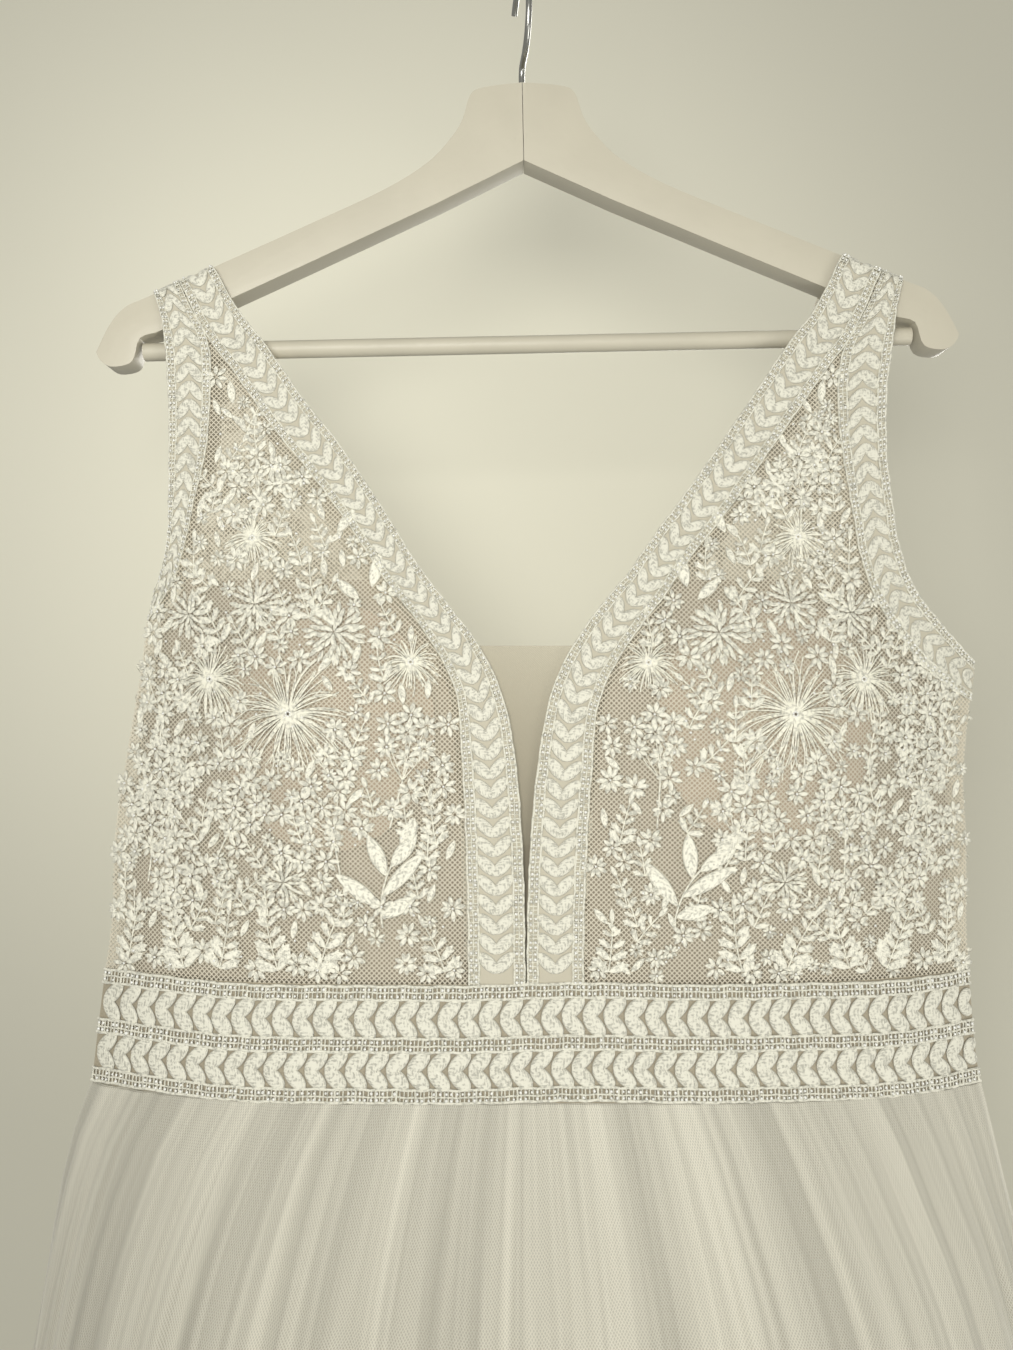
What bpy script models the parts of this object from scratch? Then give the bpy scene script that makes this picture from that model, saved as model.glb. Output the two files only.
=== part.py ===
"""A wedding dress hung flat on a painted wooden hanger.

Sizes are in millimetres until a mesh is made. X runs to the viewer's right, Z is up, and the
front of the dress faces -Y. The origin is the inside top of the hook, which hangs on a rod.
"""
import bisect
import math

import bmesh
import bpy
from mathutils import Matrix, Vector

for old in list(bpy.data.objects):
    bpy.data.objects.remove(old, do_unlink=True)

MM = 0.001
GAP = 0.3                      # clear space between two pieces at a seam

# Hanger
WIRE = 3.1                     # hook wire diameter
HOOK_RADIUS = 21.5             # centre line of the round hook
HOOK_START_DEGREES = 258.0     # where the round hook leaves the shaft
HOOK_SWEEP_DEGREES = 215.0     # how far the wire goes round
HOOK_STEPS = 18
HOOK_TURN_DEGREES = 10.0       # the hook stands this far from edge-on to the front
SHAFT = [(0.0, -52.2), (0.0, -47.0), (-0.6, -44.0), (-2.2, -41.9)]   # depth, z up to the round hook
HANGER_THICKNESS = 14.0
HANGER_LEAN_DEGREES = 1.2      # the viewer's right side hangs a little higher
EDGE_ROUNDING = 3.0            # rounding of the wood's long edges
JOINT_FLAT = 5.0               # the wood stays square this near the centre joint
BAR_DIAMETER = 8.8
BAR_HEIGHT = -181.0
BAR_HALF_LENGTH = 193.0
# One half of the hanger, seen from the front: x from the centre, then z of the edge
HANGER_TOP = [(GAP / 2, -52.6), (19, -54.6), (26, -58.2), (30, -70), (36, -79.4), (48, -91.5), (70, -104.6),
              (107, -120.8), (147, -137.8), (188, -155.2), (200, -160.4), (208, -169), (215, -182.5)]
HANGER_END = [(213, -186.6), (208, -189.8), (200, -189), (196.2, -185.6), (193.2, -176)]
HANGER_UNDER = [(185, -173.4), (148, -157.5), (110, -141), (44, -112), (GAP / 2, -91.4)]

# Cloth walls
NET_WALL = 1.0
TRIM_WALL = 1.6
LEAF_RISE = 1.3                # leaves of the trim stand this far off its ground
SKIRT_WALL = 1.5
STRAP_RISE = 5.0               # height of that loop above the place where it starts to bend
STRAP_CLEAR = 1.5              # strap above the wood at its crest
STRAP_QUARTER = 10.5           # length of cloth from there to the crest
BEND_STEPS = 3                 # flat steps of the bend on each side of the crest
CURVE_STEPS = 10               # points on a trim's smooth edge between two rows of its table
LEAF_PITCH = 9.2               # along neck and armhole trims
LEAF_LEAD = 6.5                # a pair's middle lies this far ahead of its ends
WAIST_PITCH = 10.6             # along the waist trims
WAIST_LEAD = 5.0
LEAF_MIDDLES = (0.27, 0.73)    # where a pair's two leaves are highest across the trim
NET_CLEAR = 0.42               # clear space along a net panel's slanting edges
TRIM_CLEAR = 0.7               # clear space between the net edges of two trims
PARTED = 2.0                   # a net panel starts where the neck and armhole trims are this far apart
FIRST_ROW_SHARE = 0.6          # and its first row lies this far up towards the pair of leaves before
FRONT_COLUMNS = 7              # faces across a net panel
BACK_COLUMNS = 3

# Heights
WAIST_TOP = -495.0
WAIST_MIDDLE = -522.5
WAIST_SEAM = -551.0
HEM = -1645.0
CENTRE = 2.6                   # x of the centre front and centre back

# Side line of the dress: height, x of the viewer's left side, x of the right side
SIDES = [(-300, -181.0, 226.0), (-322, -186.5, 227.0), (-344, -189.0, 227.4), (-364, -192.5, 224.6),
         (-400, -198.5, 221.6), (-430, -202.5, 223.2), (-470, -204.0, 223.2), (-497, -207.5, 224.4),
         (-510, -209.2, 225.6), (-530, -211.6, 227.2), (-551, -214.0, 230.0)]

# Depth of the bodice: height, y of the front's side edge, how far its middle stands forward of
# that, y of the back's side edge, how far its middle stands back
DEPTHS = [(-130, -8.2, 0.0, 8.2, 0.0), (-165, -8.2, 0.4, 8.2, 0.3), (-200, -8.4, 3.0, 8.4, 1.0),
          (-250, -8.0, 8.0, 6.5, 3.0), (-300, -5.0, 16.0, -1.0, 8.0), (-322, -4.0, 20.0, -3.7, 10.0),
          (-360, -4.0, 24.0, -3.7, 12.0), (-420, -4.0, 25.0, -3.7, 14.0), (-551, -4.0, 27.0, -3.7, 16.0)]

SIDE_FADE = 3.0                # the cups' stand fades out over the last third of the side's curve

# Cups: x, z, half width, half height, how far the net stands over them
CUPS = {"left": (-92.0, -372.0, 52.0, 60.0, 17.0), "right": (118.0, -369.0, 54.0, 60.0, 18.0)}

# Neck trim: x and z of the edge at the V, x and z of the edge on the net. The first row is at the crest.
NECK = {
    "left": [(-155, None, -171.5, None), (-141, -164.5, -157, -177), (-126, -184, -141.5, -198),
             (-105, -214, -121, -227), (-89, -234, -104.5, -247), (-68.5, -264, -84, -274),
             (-50.5, -293, -65.5, -302), (-36, -312.5, -50.5, -321), (-21.5, -331.5, -37, -342),
             (-11.5, -350, -30.5, -358), (-5.5, -369, -29, -373.5), (-2.5, -387.5, -28, -390),
             (-0.5, -406.5, -27, -407.5), (1.2, -435, -26, -435), (2.0, -462, -25.3, -462),
             (2.3, WAIST_TOP + GAP / 2, -25, WAIST_TOP + GAP / 2)],
    "right": [(162.5, None, 182, None), (147, -164.5, 165.5, -177.5), (132.5, -184, 151, -197.5),
              (112, -214, 131, -226), (98, -234.5, 116, -247), (82, -257, 99.5, -270),
              (66, -278.5, 82.5, -291), (52, -298.5, 69, -310.5), (39, -314, 56, -327),
              (26.5, -331.5, 44.5, -344.5), (16.8, -350, 38, -359.5), (11.5, -369, 35.5, -372.5),
              (8.5, -387.5, 34.5, -390), (6.2, -406.5, 33, -407.5), (4.2, -435, 31.5, -435),
              (3.2, -462, 30.5, -462), (2.9, WAIST_TOP + GAP / 2, 30, WAIST_TOP + GAP / 2)],
}

# Armhole trim: x and z of the edge at the arm, x and z of the edge on the net, ending at the side seam
ARM = {
    "left": [(-184, None, -172, None), (-179, -166, -163, -166), (-176, -184, -153.8, -185),
             (-174, -214, -153, -214), (-173.8, -238, -155, -239), (-174, -262, -160.5, -262),
             (-174.8, -280, -165.5, -284), (-177.8, -294, -173, -304), (-182.2, -306, -186.2, -322)],
    "right": [(191.5, None, 182.5, None), (187, -165, 171.5, -166.5), (184.5, -184, 159.8, -187),
              (181.5, -204, 156.5, -207), (180.5, -224, 157, -229), (180.7, -244, 159.5, -249),
              (183, -264, 162.5, -269), (185.6, -283, 165.7, -290.6), (192, -302, 173, -312),
              (201.7, -316, 184, -329), (214, -329, 201, -347), (226.8, -341, 225.4, -361)],
}

BACK_V_WIDER = 13.0            # the back V is cut this much wider on each side at its widest
BACK_V_TOP = -150.0            # from this height down
BACK_V_HEIGHT = 300.0

# Skirt rings: height, x of the left side, x of the right side, how far the front's middle stands
# forward of the side, how far the back's middle stands back, depth of the folds, roundness
SKIRT = [(-551.3, -214.0, 230.0, 27, 16, 1.4, 0.0), (-590, -226.5, 239.0, 40, 26, 2.6, 0.2),
         (-680, -241.0, 259.0, 56, 40, 4.4, 0.5),
         (-900, -272.0, 294.0, 82, 66, 6.6, 0.9), (-1250, -322.0, 346.0, 112, 94, 8.6, 1.0),
         (HEM, -378.0, 404.0, 142, 122, 10.5, 1.0)]
FOLDS = 25                     # gathers across the front, and as many across the back
STEPS_IN_FOLD = 3
UNDER_INSET = [2.2, 7.0, 11.5, 15.5, 19.0, 22.0]   # of each ring of the underskirt
UNDER_SIDE_INSET = 17.0
UNDER_HEM_RISE = 12.0
UNDER_COLUMNS = 18
SIDE_SEAM_Y = -4.0
SIDE_TRIM = 0.5                # how far the wall's inner corner is cut back at a side seam

# Mesh insert in the V
INSERT_TOP = -333.5
INSERT_BOTTOM = -468.0
INSERT_TUCK = 7.0
INSERT_ROWS = 8
INSERT_COLUMNS = 6
INSERT_LIFTS = (-1.9, -0.9)

# Cups and lining behind the net
CUP_RINGS = 4
CUP_SIDES = 18
CUP_RIM = 1.0                  # thickness at the rim
CUP_PADDING = 2.6              # added in the middle
CUP_LIFT = -1.5
LINING_TOP = -300.0
LINING_SIDE_INSET = 20.0
LINING_LIFTS = (-6.6, -5.6)
LINING_COLUMNS = 4

# Closure
PLACKET_TOP = -436.0
BUTTONS = 7
BUTTON_DIAMETER = 9.0
BUTTON_PITCH = 15.0
FIRST_BUTTON = -444.0
PLACKET_HALF_WIDTH = 8.0
PLACKET_WALL = 1.4
BUTTON_FLATNESS = 0.5


def paint(name, colour, roughness, metallic=0.0):
    """A plain material with the colour, roughness and metallic value of one finish."""
    material = bpy.data.materials.new(name)
    material.use_nodes = True
    shader = material.node_tree.nodes["Principled BSDF"]
    shader.inputs["Base Color"].default_value = (*colour, 1.0)
    shader.inputs["Roughness"].default_value = roughness
    shader.inputs["Metallic"].default_value = metallic
    return material


def add_object(name, bm, material):
    """Makes a named object from a bmesh in millimetres, with its faces pointing out."""
    bmesh.ops.recalc_face_normals(bm, faces=bm.faces)
    bmesh.ops.scale(bm, vec=(MM, MM, MM), verts=bm.verts)
    mesh = bpy.data.meshes.new(name)
    bm.to_mesh(mesh)
    bm.free()
    mesh.materials.append(material)
    mesh.shade_smooth()
    mesh.set_sharp_from_angle(angle=math.radians(40))
    bpy.context.scene.collection.objects.link(bpy.data.objects.new(name, mesh))


def lookup(table, key, column):
    """Reads a column of a table whose first column falls, with straight lines between its rows."""
    keys = [-row[0] for row in table]
    place = min(max(bisect.bisect_right(keys, -key), 1), len(table) - 1)
    above = table[place - 1]
    below = table[place]
    share = (above[0] - key) / (above[0] - below[0])
    share = min(max(share, 0.0), 1.0)
    return above[column] + (below[column] - above[column]) * share


def lean(x, z):
    """Turns a place on the level hanger by its lean about the hook's top."""
    turn = math.radians(HANGER_LEAN_DEGREES)
    return x * math.cos(turn) - z * math.sin(turn), x * math.sin(turn) + z * math.cos(turn)


def arm_top(x):
    """Height of the leaning hanger's top edge at x."""
    outline = [lean(side * edge_x, edge_z) for side in (-1, 1) for edge_x, edge_z in HANGER_TOP]
    outline.sort()
    place = bisect.bisect_left([point[0] for point in outline], x)
    place = min(max(place, 1), len(outline) - 1)
    start, end = outline[place - 1], outline[place]
    return start[1] + (end[1] - start[1]) * (x - start[0]) / (end[0] - start[0])


def bend_start(x):
    """Height where a strap at x starts to bend over the hanger arm."""
    return arm_top(x) + STRAP_CLEAR - STRAP_RISE


def crest(x):
    """Flat height of the shoulder seam at x, measured up along the cloth."""
    return bend_start(x) + STRAP_QUARTER - GAP / 2


def bodice_y(x, z, face):
    """Depth of the bodice cloth at x and z, on the front (face -1) or the back (face 1)."""
    side_x = lookup(SIDES, z, 1) if x < CENTRE else lookup(SIDES, z, 2)
    across = min(abs((x - CENTRE) / (side_x - CENTRE)), 1.1)
    arch = 1.0 - across ** 4
    if face > 0:
        return lookup(DEPTHS, z, 3) + lookup(DEPTHS, z, 4) * arch
    y = lookup(DEPTHS, z, 1) - lookup(DEPTHS, z, 2) * arch
    for cup_x, cup_z, half_width, half_height, stand in CUPS.values():
        distance = ((x - cup_x) / half_width) ** 2 + ((z - cup_z) / half_height) ** 2
        y -= stand * math.exp(-distance) * min(arch * SIDE_FADE, 1.0)
    return y


def skin(x, z, face):
    """A point on the cloth's inner face, where z above the bend runs over the hanger arm."""
    start = bend_start(x)
    y = bodice_y(x, min(z, start), face)
    if z <= start:
        return Vector((x, y, z))
    angle = min((z - start) / STRAP_QUARTER, 1.0) * math.pi / 2
    return Vector((x, y * math.cos(angle), start + STRAP_RISE * math.sin(angle)))


def cloth_point(x, z, face, lift):
    """The cloth's inner face at x and z, moved out by lift."""
    step = 1.0
    along_x = skin(x + step, z, face) - skin(x - step, z, face)
    along_z = skin(x, z + step, face) - skin(x, z - step, face)
    out = along_x.cross(along_z) * -face
    return skin(x, z, face) + out.normalized() * lift


def smooth_rows(rows):
    """Many close rows on a smooth curve through the rows of a trim's table."""
    whole = []
    for edge_x, edge_z, net_x, net_z in rows:
        edge_z = crest(edge_x) if edge_z is None else edge_z
        net_z = crest(net_x) if net_z is None else net_z
        whole.append(Vector((edge_x, edge_z, net_x, net_z)))
    close = []
    for place in range(len(whole) - 1):
        before = whole[max(place - 1, 0)]
        start = whole[place]
        end = whole[place + 1]
        after = whole[min(place + 2, len(whole) - 1)]
        for step in range(CURVE_STEPS):
            t = step / CURVE_STEPS
            cubic = (before * -1 + start * 3 - end * 3 + after) * t ** 3
            square = (before * 2 - start * 5 + end * 4 - after) * t ** 2
            close.append(start + (cubic + square + (end - before) * t) * 0.5)
    close.append(whole[-1])
    return close


class Strip:
    """A strip of trim between two edges, read by the distance along its middle."""

    def __init__(self, rows):
        self.rows = rows
        self.along = [0.0]
        for before, after in zip(rows, rows[1:]):
            move = ((after - before).xy + (after - before).zw) / 2
            self.along.append(self.along[-1] + move.length)
        self.length = self.along[-1]

    def row(self, distance):
        """Both edges at a distance along the strip, as one row of four numbers."""
        distance = min(max(distance, 0.0), self.length)
        place = min(max(bisect.bisect_right(self.along, distance), 1), len(self.rows) - 1)
        start, end = self.along[place - 1], self.along[place]
        share = (distance - start) / (end - start)
        return self.rows[place - 1].lerp(self.rows[place], share)

    def point(self, distance, across):
        """x and z at a distance along the strip, with across from 0 to 1 between its edges."""
        row = self.row(distance)
        return row.xy.lerp(row.zw, across)


def chevron_trim(name, strip, face, pitch, ahead, bend=0.0):
    """A strip of trim whose pairs of leaves are raised in its outer points over a plain inside.

    ahead is how far a pair's middle lies ahead of its ends, so its sign turns the chevrons.
    bend is the length at the start that curves over the hanger arm, cut into short plain steps.
    A strip over the front's curves has one more column inside than the flatter ones.
    """
    inside_columns = (0.0, 0.5, 1.0) if bend and face < 0 else (0.0, 1.0)
    count = max(round((strip.length - bend) / pitch), 2)
    stations = [bend * step / BEND_STEPS for step in range(BEND_STEPS)] if bend else []
    stations += [bend + (strip.length - bend) * step / count for step in range(count + 1)]
    plain = len(stations) - count - 1
    bm = bmesh.new()

    def vertex(distance, across, lift):
        x, z = strip.point(distance, across)
        return bm.verts.new(cloth_point(x, z, face, lift))

    rows = []
    for place, distance in enumerate(stations):
        lead = ahead if plain < place < len(stations) - 1 else 0.0
        leaf = [vertex(distance + lead * (across == 0.5), across, TRIM_WALL) for across in (0.0, 0.5, 1.0)]
        inside = [vertex(distance + lead * (across == 0.5), across, 0.0) for across in inside_columns]
        rows.append((leaf, inside))
    for place in range(len(stations) - 1):
        leaf, inside = rows[place]
        next_leaf, next_inside = rows[place + 1]
        if place < plain:
            for column in (0, 1):
                bm.faces.new((leaf[column], leaf[column + 1], next_leaf[column + 1], next_leaf[column]))
        else:
            middle = (stations[place] + stations[place + 1]) / 2
            for column, across in enumerate(LEAF_MIDDLES):
                top = vertex(middle + ahead * 0.5, across, TRIM_WALL + LEAF_RISE)
                ring = leaf[column:column + 2] + next_leaf[column:column + 2][::-1]
                for start, end in zip(ring, ring[1:] + ring[:1]):
                    bm.faces.new((start, end, top))
        for column in range(len(inside) - 1):
            bm.faces.new((inside[column], next_inside[column], next_inside[column + 1], inside[column + 1]))
        bm.faces.new((leaf[0], next_leaf[0], next_inside[0], inside[0]))
        bm.faces.new((inside[-1], next_inside[-1], next_leaf[2], leaf[2]))
    for leaf, inside in (rows[0], rows[-1]):
        bm.faces.new(leaf + inside[::-1])
    add_object(name, bm, trim)
    return [strip.row(distance) for distance in stations]


def wall_from_grid(name, outer, inner, material):
    """A closed wall from two grids of points, rows of the outer face and of the inner face."""
    bm = bmesh.new()
    outside = [[bm.verts.new(point) for point in row] for row in outer]
    inside = [[bm.verts.new(point) for point in row] for row in inner]
    last = len(outside[0]) - 1
    for grid in (outside, inside):
        for above, below in zip(grid, grid[1:]):
            for column in range(last):
                bm.faces.new((above[column], above[column + 1], below[column + 1], below[column]))
    for column in range(last):
        for row in (0, -1):
            bm.faces.new((outside[row][column], inside[row][column],
                          inside[row][column + 1], outside[row][column + 1]))
    for row in range(len(outside) - 1):
        for column in (0, -1):
            bm.faces.new((outside[row][column], outside[row + 1][column],
                          inside[row + 1][column], inside[row][column]))
    add_object(name, bm, material)


def panel_rows(side, neck_rows, arm_rows):
    """Ends of each row of a net panel, between the neck trim and the armhole trim or side seam."""
    for arm_start, row in enumerate(arm_rows):
        nearest = min(neck_rows, key=lambda other: abs(other.w - row.w))
        if row.w < bend_start(row.z) and abs(nearest.z - row.z) > PARTED:
            break
    neck_start = min(place for place, other in enumerate(neck_rows) if other.w < row.w + PARTED)
    neck_edge = [other.zw for other in neck_rows[neck_start:]]
    side_edge = [other.zw for other in arm_rows[arm_start:]]
    for edge, rows, start in ((neck_edge, neck_rows, neck_start), (side_edge, arm_rows, arm_start)):
        edge.insert(0, rows[start].zw.lerp(rows[start - 1].zw, FIRST_ROW_SHARE))
    left_over = len(neck_edge) - len(side_edge)
    start = side_edge[-1].y
    for step in range(1, left_over + 1):
        z = start + (WAIST_TOP + GAP / 2 - start) * step / left_over
        side_edge.append(Vector((lookup(SIDES, z, 1 if side == "left" else 2), z)))
    ends = []
    for on_side, on_neck in zip(side_edge, neck_edge):
        inward = (on_neck - on_side).normalized() * NET_CLEAR
        ends.append((on_side + inward, on_neck - inward))
    return ends


def net_panel(name, ends, face, lifts, columns, material):
    """A plain cloth panel through its rows, between two lifts off the cloth's inner face."""
    grids = []
    for lift in lifts:
        grid = []
        for start, end in ends:
            places = [start.lerp(end, column / columns) for column in range(columns + 1)]
            grid.append([cloth_point(place.x, place.y, face, lift) for place in places])
        grids.append(grid)
    wall_from_grid(name, grids[1], grids[0], material)


def bent(strip_rows, side):
    """The back's rows: the V stands wider than the front's, so the front hides it."""
    turned = []
    outward = -1 if side == "left" else 1
    for row in strip_rows:
        share = min(max((BACK_V_TOP - row.y) / BACK_V_HEIGHT, 0.0), 1.0)
        wider = BACK_V_WIDER * math.sin(math.pi * share) * outward
        turned.append(Vector((row.x + wider, row.y, row.z + wider, row.w)))
    return turned


def keep_clear(arm_strip, neck_strip, side):
    """Arm trim rows whose net edge stays a gap away from the neck trim's net edge."""
    outward = -1 if side == "left" else 1
    clear = []
    for row in arm_strip:
        nearest = min(neck_strip, key=lambda other: abs(other.w - row.w))
        limit = nearest.z + outward * TRIM_CLEAR
        net_x = min(row.z, limit) if outward < 0 else max(row.z, limit)
        clear.append(Vector((row.x, row.y, net_x, row.w)))
    return clear


def at_height(rows, z, edge):
    """x of a trim's edge at height z, where edge 0 is the one at the V."""
    nearest = min(rows, key=lambda row: abs(row[edge * 2 + 1] - z))
    return nearest[edge * 2]


def hanger_arm(side):
    """Half of the wooden hanger: its front outline, extruded and rounded along its long edges."""
    sign = -1 if side == "left" else 1
    bm = bmesh.new()
    outline = [lean(sign * x, z) for x, z in HANGER_TOP + HANGER_END + HANGER_UNDER]
    front = bm.faces.new([bm.verts.new((x, -HANGER_THICKNESS / 2, z)) for x, z in outline])
    bmesh.ops.recalc_face_normals(bm, faces=bm.faces)
    pushed = bmesh.ops.extrude_face_region(bm, geom=[front])
    moved = [item for item in pushed["geom"] if isinstance(item, bmesh.types.BMVert)]
    bmesh.ops.translate(bm, verts=moved, vec=(0, HANGER_THICKNESS, 0))
    seam = min(abs(vertex.co.x) for vertex in bm.verts)
    long_edges = [edge for edge in bm.edges
                  if abs(edge.verts[0].co.y - edge.verts[1].co.y) < 0.1
                  and max(abs(vertex.co.x) for vertex in edge.verts) > seam + JOINT_FLAT]
    bmesh.ops.bevel(bm, geom=long_edges, offset=EDGE_ROUNDING, segments=2, profile=0.5, affect="EDGES",
                    clamp_overlap=True, material=-1)
    add_object(f"hanger_arm_{side}", bm, wood)


def hanger_bar():
    """The round bar between the tips, leaning with the hanger."""
    bm = bmesh.new()
    bmesh.ops.create_cone(bm, cap_ends=True, segments=16, radius1=BAR_DIAMETER / 2,
                          radius2=BAR_DIAMETER / 2, depth=BAR_HALF_LENGTH * 2)
    turn = Matrix.Rotation(math.radians(90), 3, "Y")
    bmesh.ops.rotate(bm, verts=bm.verts, matrix=turn)
    for vertex in bm.verts:
        vertex.co.x, vertex.co.z = lean(vertex.co.x, vertex.co.z + BAR_HEIGHT)
    add_object("hanger_bar", bm, wood)


def hanger_hook():
    """The wire hook, its shaft standing on the wood and its round part turned nearly edge-on."""
    centre_z = WIRE / 2 - HOOK_RADIUS
    path = list(SHAFT)
    for step in range(HOOK_STEPS + 1):
        angle = math.radians(HOOK_START_DEGREES - HOOK_SWEEP_DEGREES * step / HOOK_STEPS)
        path.append((HOOK_RADIUS * math.cos(angle), centre_z + HOOK_RADIUS * math.sin(angle)))
    turn = math.radians(HOOK_TURN_DEGREES)
    curve = bpy.data.curves.new("hanger_hook", "CURVE")
    curve.dimensions = "3D"
    curve.bevel_depth = WIRE / 2 * MM
    curve.bevel_resolution = 2
    curve.use_fill_caps = True
    wire = curve.splines.new("POLY")
    wire.points.add(len(path) - 1)
    for point, (depth, z) in zip(wire.points, path):
        x, z = lean(-depth * math.sin(turn), z)
        point.co = (x * MM, depth * math.cos(turn) * MM, z * MM, 1.0)
    curve.materials.append(steel)
    bpy.context.scene.collection.objects.link(bpy.data.objects.new("hanger_hook", curve))


def neck_insert(left_rows, right_rows):
    """Sheer mesh across the bottom of the V, caught behind both neck trims."""
    grids = []
    for lift in INSERT_LIFTS:
        grid = []
        for step in range(INSERT_ROWS + 1):
            z = INSERT_TOP + (INSERT_BOTTOM - INSERT_TOP) * step / INSERT_ROWS
            start = at_height(left_rows, z, 0) - INSERT_TUCK
            end = at_height(right_rows, z, 0) + INSERT_TUCK
            grid.append([cloth_point(start + (end - start) * column / INSERT_COLUMNS, z, -1, lift)
                         for column in range(INSERT_COLUMNS + 1)])
        grids.append(grid)
    wall_from_grid("neck_insert", grids[1], grids[0], nude)


def cup(side):
    """A moulded cup behind the net, thickest in its middle."""
    cup_x, cup_z, half_width, half_height, _ = CUPS[side]
    bm = bmesh.new()
    rings = []
    for lift_out in (True, False):
        face_rings = []
        for ring in range(1, CUP_RINGS + 1):
            reach = ring / CUP_RINGS
            thick = CUP_RIM + CUP_PADDING * (1 - reach ** 2)
            lift = CUP_LIFT if lift_out else CUP_LIFT - thick
            face_rings.append([bm.verts.new(cloth_point(
                cup_x + reach * half_width * math.cos(math.tau * step / CUP_SIDES),
                cup_z + reach * half_height * math.sin(math.tau * step / CUP_SIDES), -1, lift))
                for step in range(CUP_SIDES)])
        lift = CUP_LIFT if lift_out else CUP_LIFT - CUP_RIM - CUP_PADDING
        middle = bm.verts.new(cloth_point(cup_x, cup_z, -1, lift))
        for step in range(CUP_SIDES):
            after = (step + 1) % CUP_SIDES
            bm.faces.new((middle, face_rings[0][step], face_rings[0][after]))
            for inner, outer in zip(face_rings, face_rings[1:]):
                bm.faces.new((inner[step], outer[step], outer[after], inner[after]))
        rings.append(face_rings[-1])
    for step in range(CUP_SIDES):
        after = (step + 1) % CUP_SIDES
        bm.faces.new((rings[0][step], rings[0][after], rings[1][after], rings[1][step]))
    add_object(f"cup_{side}", bm, foam)


def front_lining(side, ends):
    """Nude mesh behind the cups, from the bust to the waist, clear of the side seam."""
    chosen = []
    for start, end in ends[::-1]:
        if min(start.y, end.y) < LINING_TOP:
            along = (end - start).normalized()
            chosen.append((start + along * LINING_SIDE_INSET, end - along * GAP))
    net_panel(f"front_lining_{side}", chosen[::2], -1, LINING_LIFTS, LINING_COLUMNS, nude)


def waist_trims():
    """Two rows of trim round the waist, whole in front and parted at the centre back."""
    levels = {"upper": (WAIST_TOP - GAP / 2, WAIST_MIDDLE + GAP / 2),
              "lower": (WAIST_MIDDLE - GAP / 2, WAIST_SEAM)}
    for level, (top, bottom) in levels.items():
        left = Vector((lookup(SIDES, top, 1), top, lookup(SIDES, bottom, 1), bottom))
        right = Vector((lookup(SIDES, top, 2), top, lookup(SIDES, bottom, 2), bottom))
        before = Vector((CENTRE - GAP, top, CENTRE - GAP, bottom))
        after = Vector((CENTRE + GAP, top, CENTRE + GAP, bottom))
        for name, ends, face in (("front", [left, right], -1), ("back_left", [left, before], 1),
                                 ("back_right", [after, right], 1)):
            chevron_trim(f"waist_{level}_{name}", Strip(ends), face, WAIST_PITCH, -WAIST_LEAD)


def section_point(ring, across, face, side_inset=0.0, depth_inset=0.0):
    """x and y of a skirt ring's plain curve, with across from -1 at the left to 1 at the right."""
    _, left_x, right_x, front_depth, back_depth, _, roundness = ring
    left_x += side_inset
    right_x -= side_inset
    reach = (1 - roundness) * across + roundness * math.sin(math.pi / 2 * across)
    arch = (1 - roundness) * (1 - across ** 4) + roundness * math.cos(math.pi / 2 * across)
    side_x = left_x if across < 0 else right_x
    depth = (front_depth if face < 0 else back_depth) - depth_inset
    x = CENTRE + abs(reach) * (side_x - CENTRE)
    return Vector((x, SIDE_SEAM_Y + face * (GAP / 2 + depth * arch)))


def fold_places():
    """Where each step of each gather lies across a panel, from -1 to 1, and how far it stands out.

    The gathers are uneven: their widths and depths follow two slow waves along the row.
    """
    widths = [1 + 0.32 * math.sin(2.3 * fold + 0.6) + 0.18 * math.sin(5.1 * fold) for fold in range(FOLDS)]
    total = sum(widths)
    places = []
    start = -1.0
    for fold, width in enumerate(widths):
        depth = 0.8 + 0.2 * math.sin(1.7 * fold + 1.0)
        for step in range(STEPS_IN_FOLD):
            share = step / STEPS_IN_FOLD
            stand = depth * math.sin(math.pi * share) ** 2
            places.append((start + 2 * width / total * share, stand))
        start += 2 * width / total
    places.append((1.0, 0.0))
    return places


def across_normal(ring, across, face, side_inset=0.0, depth_inset=0.0):
    """The way out of a skirt ring's plain curve."""
    before = section_point(ring, max(across - 0.01, -1.0), face, side_inset, depth_inset)
    after = section_point(ring, min(across + 0.01, 1.0), face, side_inset, depth_inset)
    along = (after - before).normalized()
    return Vector((-along.y, along.x)) * face


def tulle_panel(name, face, material):
    """Gathered tulle from the waist seam to the hem."""
    outer, inner = [], []
    places = fold_places()
    for ring in SKIRT:
        line = []
        for across, stand in places:
            point = section_point(ring, across, face)
            line.append(point + across_normal(ring, across, face) * stand * ring[5])
        inside = []
        for place, point in enumerate(line):
            before = line[max(place - 1, 0)]
            after = line[min(place + 1, len(line) - 1)]
            along = (after - before).normalized()
            inside.append(point - Vector((-along.y, along.x)) * face * SKIRT_WALL)
        outer.append([Vector((point.x, point.y, ring[0])) for point in line])
        inner.append([Vector((point.x, point.y, ring[0])) for point in inside])
    for inside in inner:
        for place, step in ((0, 1), (-1, -2)):
            inside[place].y = SIDE_SEAM_Y + face * GAP / 2
            inside[place].x += (inside[step].x - inside[place].x) * SIDE_TRIM
    wall_from_grid(name, outer, inner, material)


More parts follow.
